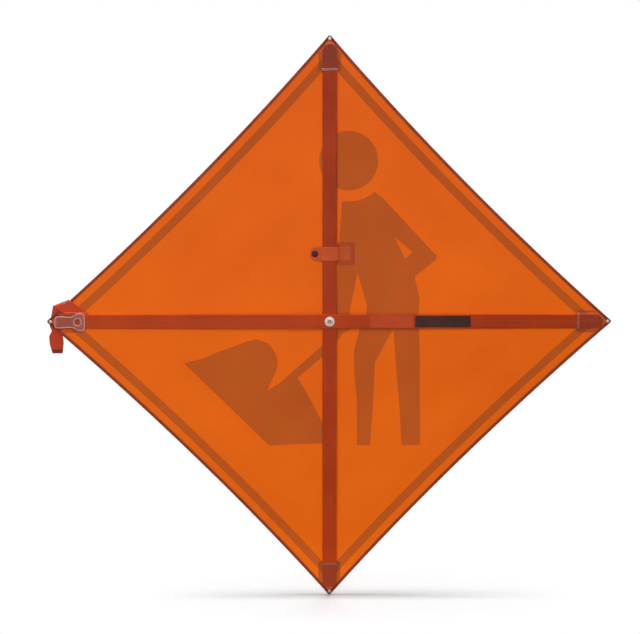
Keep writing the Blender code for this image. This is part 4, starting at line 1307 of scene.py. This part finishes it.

# %% [markdown]
# ## Darker tape at the tips
# The tape is nearly black at the four tips. A few more nodes in the tape's finish lower its brightness with
# the distance from the sign's centre, over the last centimetres.

# %% Darker tape at the tips
TIP_DARK_SPAN = (30.0, 8.0)
TIP_DARK_VALUE = 0.4

tree, shader, place = parts_of(BINDING_TAPE)
tape_colour = shader.inputs["Base Color"].links[0].from_socket
reach = add_node(tree, "ShaderNodeVectorMath", {0: place, 1: CENTRE}, operation="DISTANCE").outputs["Value"]
start, end = [(HALF - distance) * MM for distance in TIP_DARK_SPAN]
tip_darkening = {"Value": reach, "From Min": start, "From Max": end, "To Min": 1.0, "To Max": TIP_DARK_VALUE}
value = add_node(tree, "ShaderNodeMapRange", tip_darkening).outputs[0]
darker = add_node(tree, "ShaderNodeHueSaturation", {"Color": tape_colour, "Value": value})
tree.links.new(darker.outputs["Color"], shader.inputs["Base Color"])
print("tape darkened at the tips")

# %% [markdown]
# ## Floor
# The sign stands on its lower tip on pale paper, of which the photograph keeps only a flat band of shadow.
# The paper fades out in an oval round the tip, so that band stays and no edge shows against the white behind.
# The oval is a painted shadow: it is shifted and flattened to lie where the shadow falls, and inside it the
# grey paper stays a little below white.

# %% Floor
FLOOR = CENTRE.z - TIP * MM
FLOOR_GREY = "#b4b4b4"
FADE_FROM, FADE_TO = 0.08, 0.5
FADE_SHIFT = 0.07
FADE_FLATNESS = 2.5
FLOOR_REACH = 12.0

bm = bmesh.new()
under = Matrix.Translation((0, 0, FLOOR))
bmesh.ops.create_grid(bm, x_segments=1, y_segments=1, size=FLOOR_REACH, matrix=under)
floor = add_object("floor", mesh_from(bm, "floor"))
# Matt paper, with no reflection to speak of.
paper = new_finish("pale_paper_floor", 0.9, Specular_IOR_Level=0.1)
tree, shader, place = parts_of(paper)
shader.inputs["Base Color"].default_value = linear(FLOOR_GREY)
# Painted shadow: the grey paper shows only inside this oval, set where the shadow falls.
oval = {"Vector": place, "Location": (-FADE_SHIFT, 0.0, 0.0), "Scale": (1.0, FADE_FLATNESS, 1.0)}
squeezed = add_node(tree, "ShaderNodeMapping", oval).outputs[0]
far = add_node(tree, "ShaderNodeVectorMath", {0: squeezed}, operation="LENGTH").outputs["Value"]
fading = {"Value": far, "From Min": FADE_FROM, "From Max": FADE_TO, "To Min": 1.0, "To Max": 0.0}
fade = add_node(tree, "ShaderNodeMapRange", fading)
tree.links.new(fade.outputs[0], shader.inputs["Alpha"])
floor.data.materials.append(paper)
floor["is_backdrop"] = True
print("floor at", round(FLOOR, 4), "m")

# %% [markdown]
# ## Camera
# The camera stands almost straight behind the sign, half a degree to one side and six degrees above its
# centre, and frames it as the photograph does. The lens follows from the width that it frames.

# %% Camera
AZIMUTH, ELEVATION, DISTANCE = math.radians(-0.5), math.radians(5.9), 3.0
FRAMED_WIDTH = 1.463
TARGET = Vector((-0.022, 0.0, 0.5416))

flat = math.cos(ELEVATION)
away = Vector((math.sin(AZIMUTH) * flat, -math.cos(AZIMUTH) * flat, math.sin(ELEVATION)))
camera = add_object("camera", bpy.data.cameras.new("camera"))
camera.location = TARGET + away * DISTANCE
camera.rotation_euler = away.to_track_quat("Z", "Y").to_euler()
camera.data.sensor_width = 36
camera.data.lens = camera.data.sensor_width * DISTANCE / FRAMED_WIDTH
bpy.context.scene.camera = camera
print("lens", round(camera.data.lens, 1), "mm")

# %% [markdown]
# ## Lights
# The photograph has even studio light: hardly any shading on the cloth, a soft dark line on the floor below
# the sign, and plain white behind. A long, thin soft box right above the sign throws that line. A large one
# lights the back of the sign from a little above and to the left, and a third the printed side, for views
# from there.

# %% Lights


def soft_box(name, place, size, watts):
    """A rectangular light that faces the sign and doesn't show itself."""
    light = bpy.data.lights.new(name, "AREA")
    light.shape = "RECTANGLE"
    light.size, light.size_y = size
    light.energy = watts
    box = add_object(name, light)
    box.location = place
    box.rotation_euler = (box.location - TARGET).to_track_quat("Z", "Y").to_euler()
    box.visible_camera = False
    print(f"{name}: {watts} W")


soft_box("overhead", (TARGET.x, 0.0, 3.2), (2.4, 0.2), 160)
soft_box("front_left", (-0.35, -3.7, 1.3), (3.0, 3.0), 138)
soft_box("printed_side", (0.8, 3.7, 1.4), (2.4, 2.4), 115)

# %% [markdown]
# ## Surroundings
# The world is plain white to the camera, to reflections and to light that passes through clear vinyl. As a
# light it is much weaker, so that the soft boxes keep their shadows.

# %% Surroundings
WORLD_LIGHT = 0.2

world = bpy.data.worlds.new("studio")
world.use_nodes = True
bpy.context.scene.world = world
tree = world.node_tree
rays = add_node(tree, "ShaderNodeLightPath").outputs
seen = sum_of(tree, *[(rays[f"Is {kind} Ray"], 1.0) for kind in ("Camera", "Glossy", "Transmission")])
strength = add_node(tree, "ShaderNodeMapRange", {"Value": seen, "To Min": WORLD_LIGHT, "To Max": 1.0})
tree.nodes["Background"].inputs["Color"].default_value = (1, 1, 1, 1)
tree.links.new(strength.outputs[0], tree.nodes["Background"].inputs["Strength"])
bpy.context.scene.view_settings.view_transform = "Standard"
print("world set")

# %% [markdown]
# ## Sizes
# The cloth with its bindings and ink is one sheet, cut flat and stretched over the ribs. The last cell prints
# the box that the visible pieces fill.

# %% Sizes
low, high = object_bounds()
print("visual box", [round(v, 4) for v in (*low, *high)])
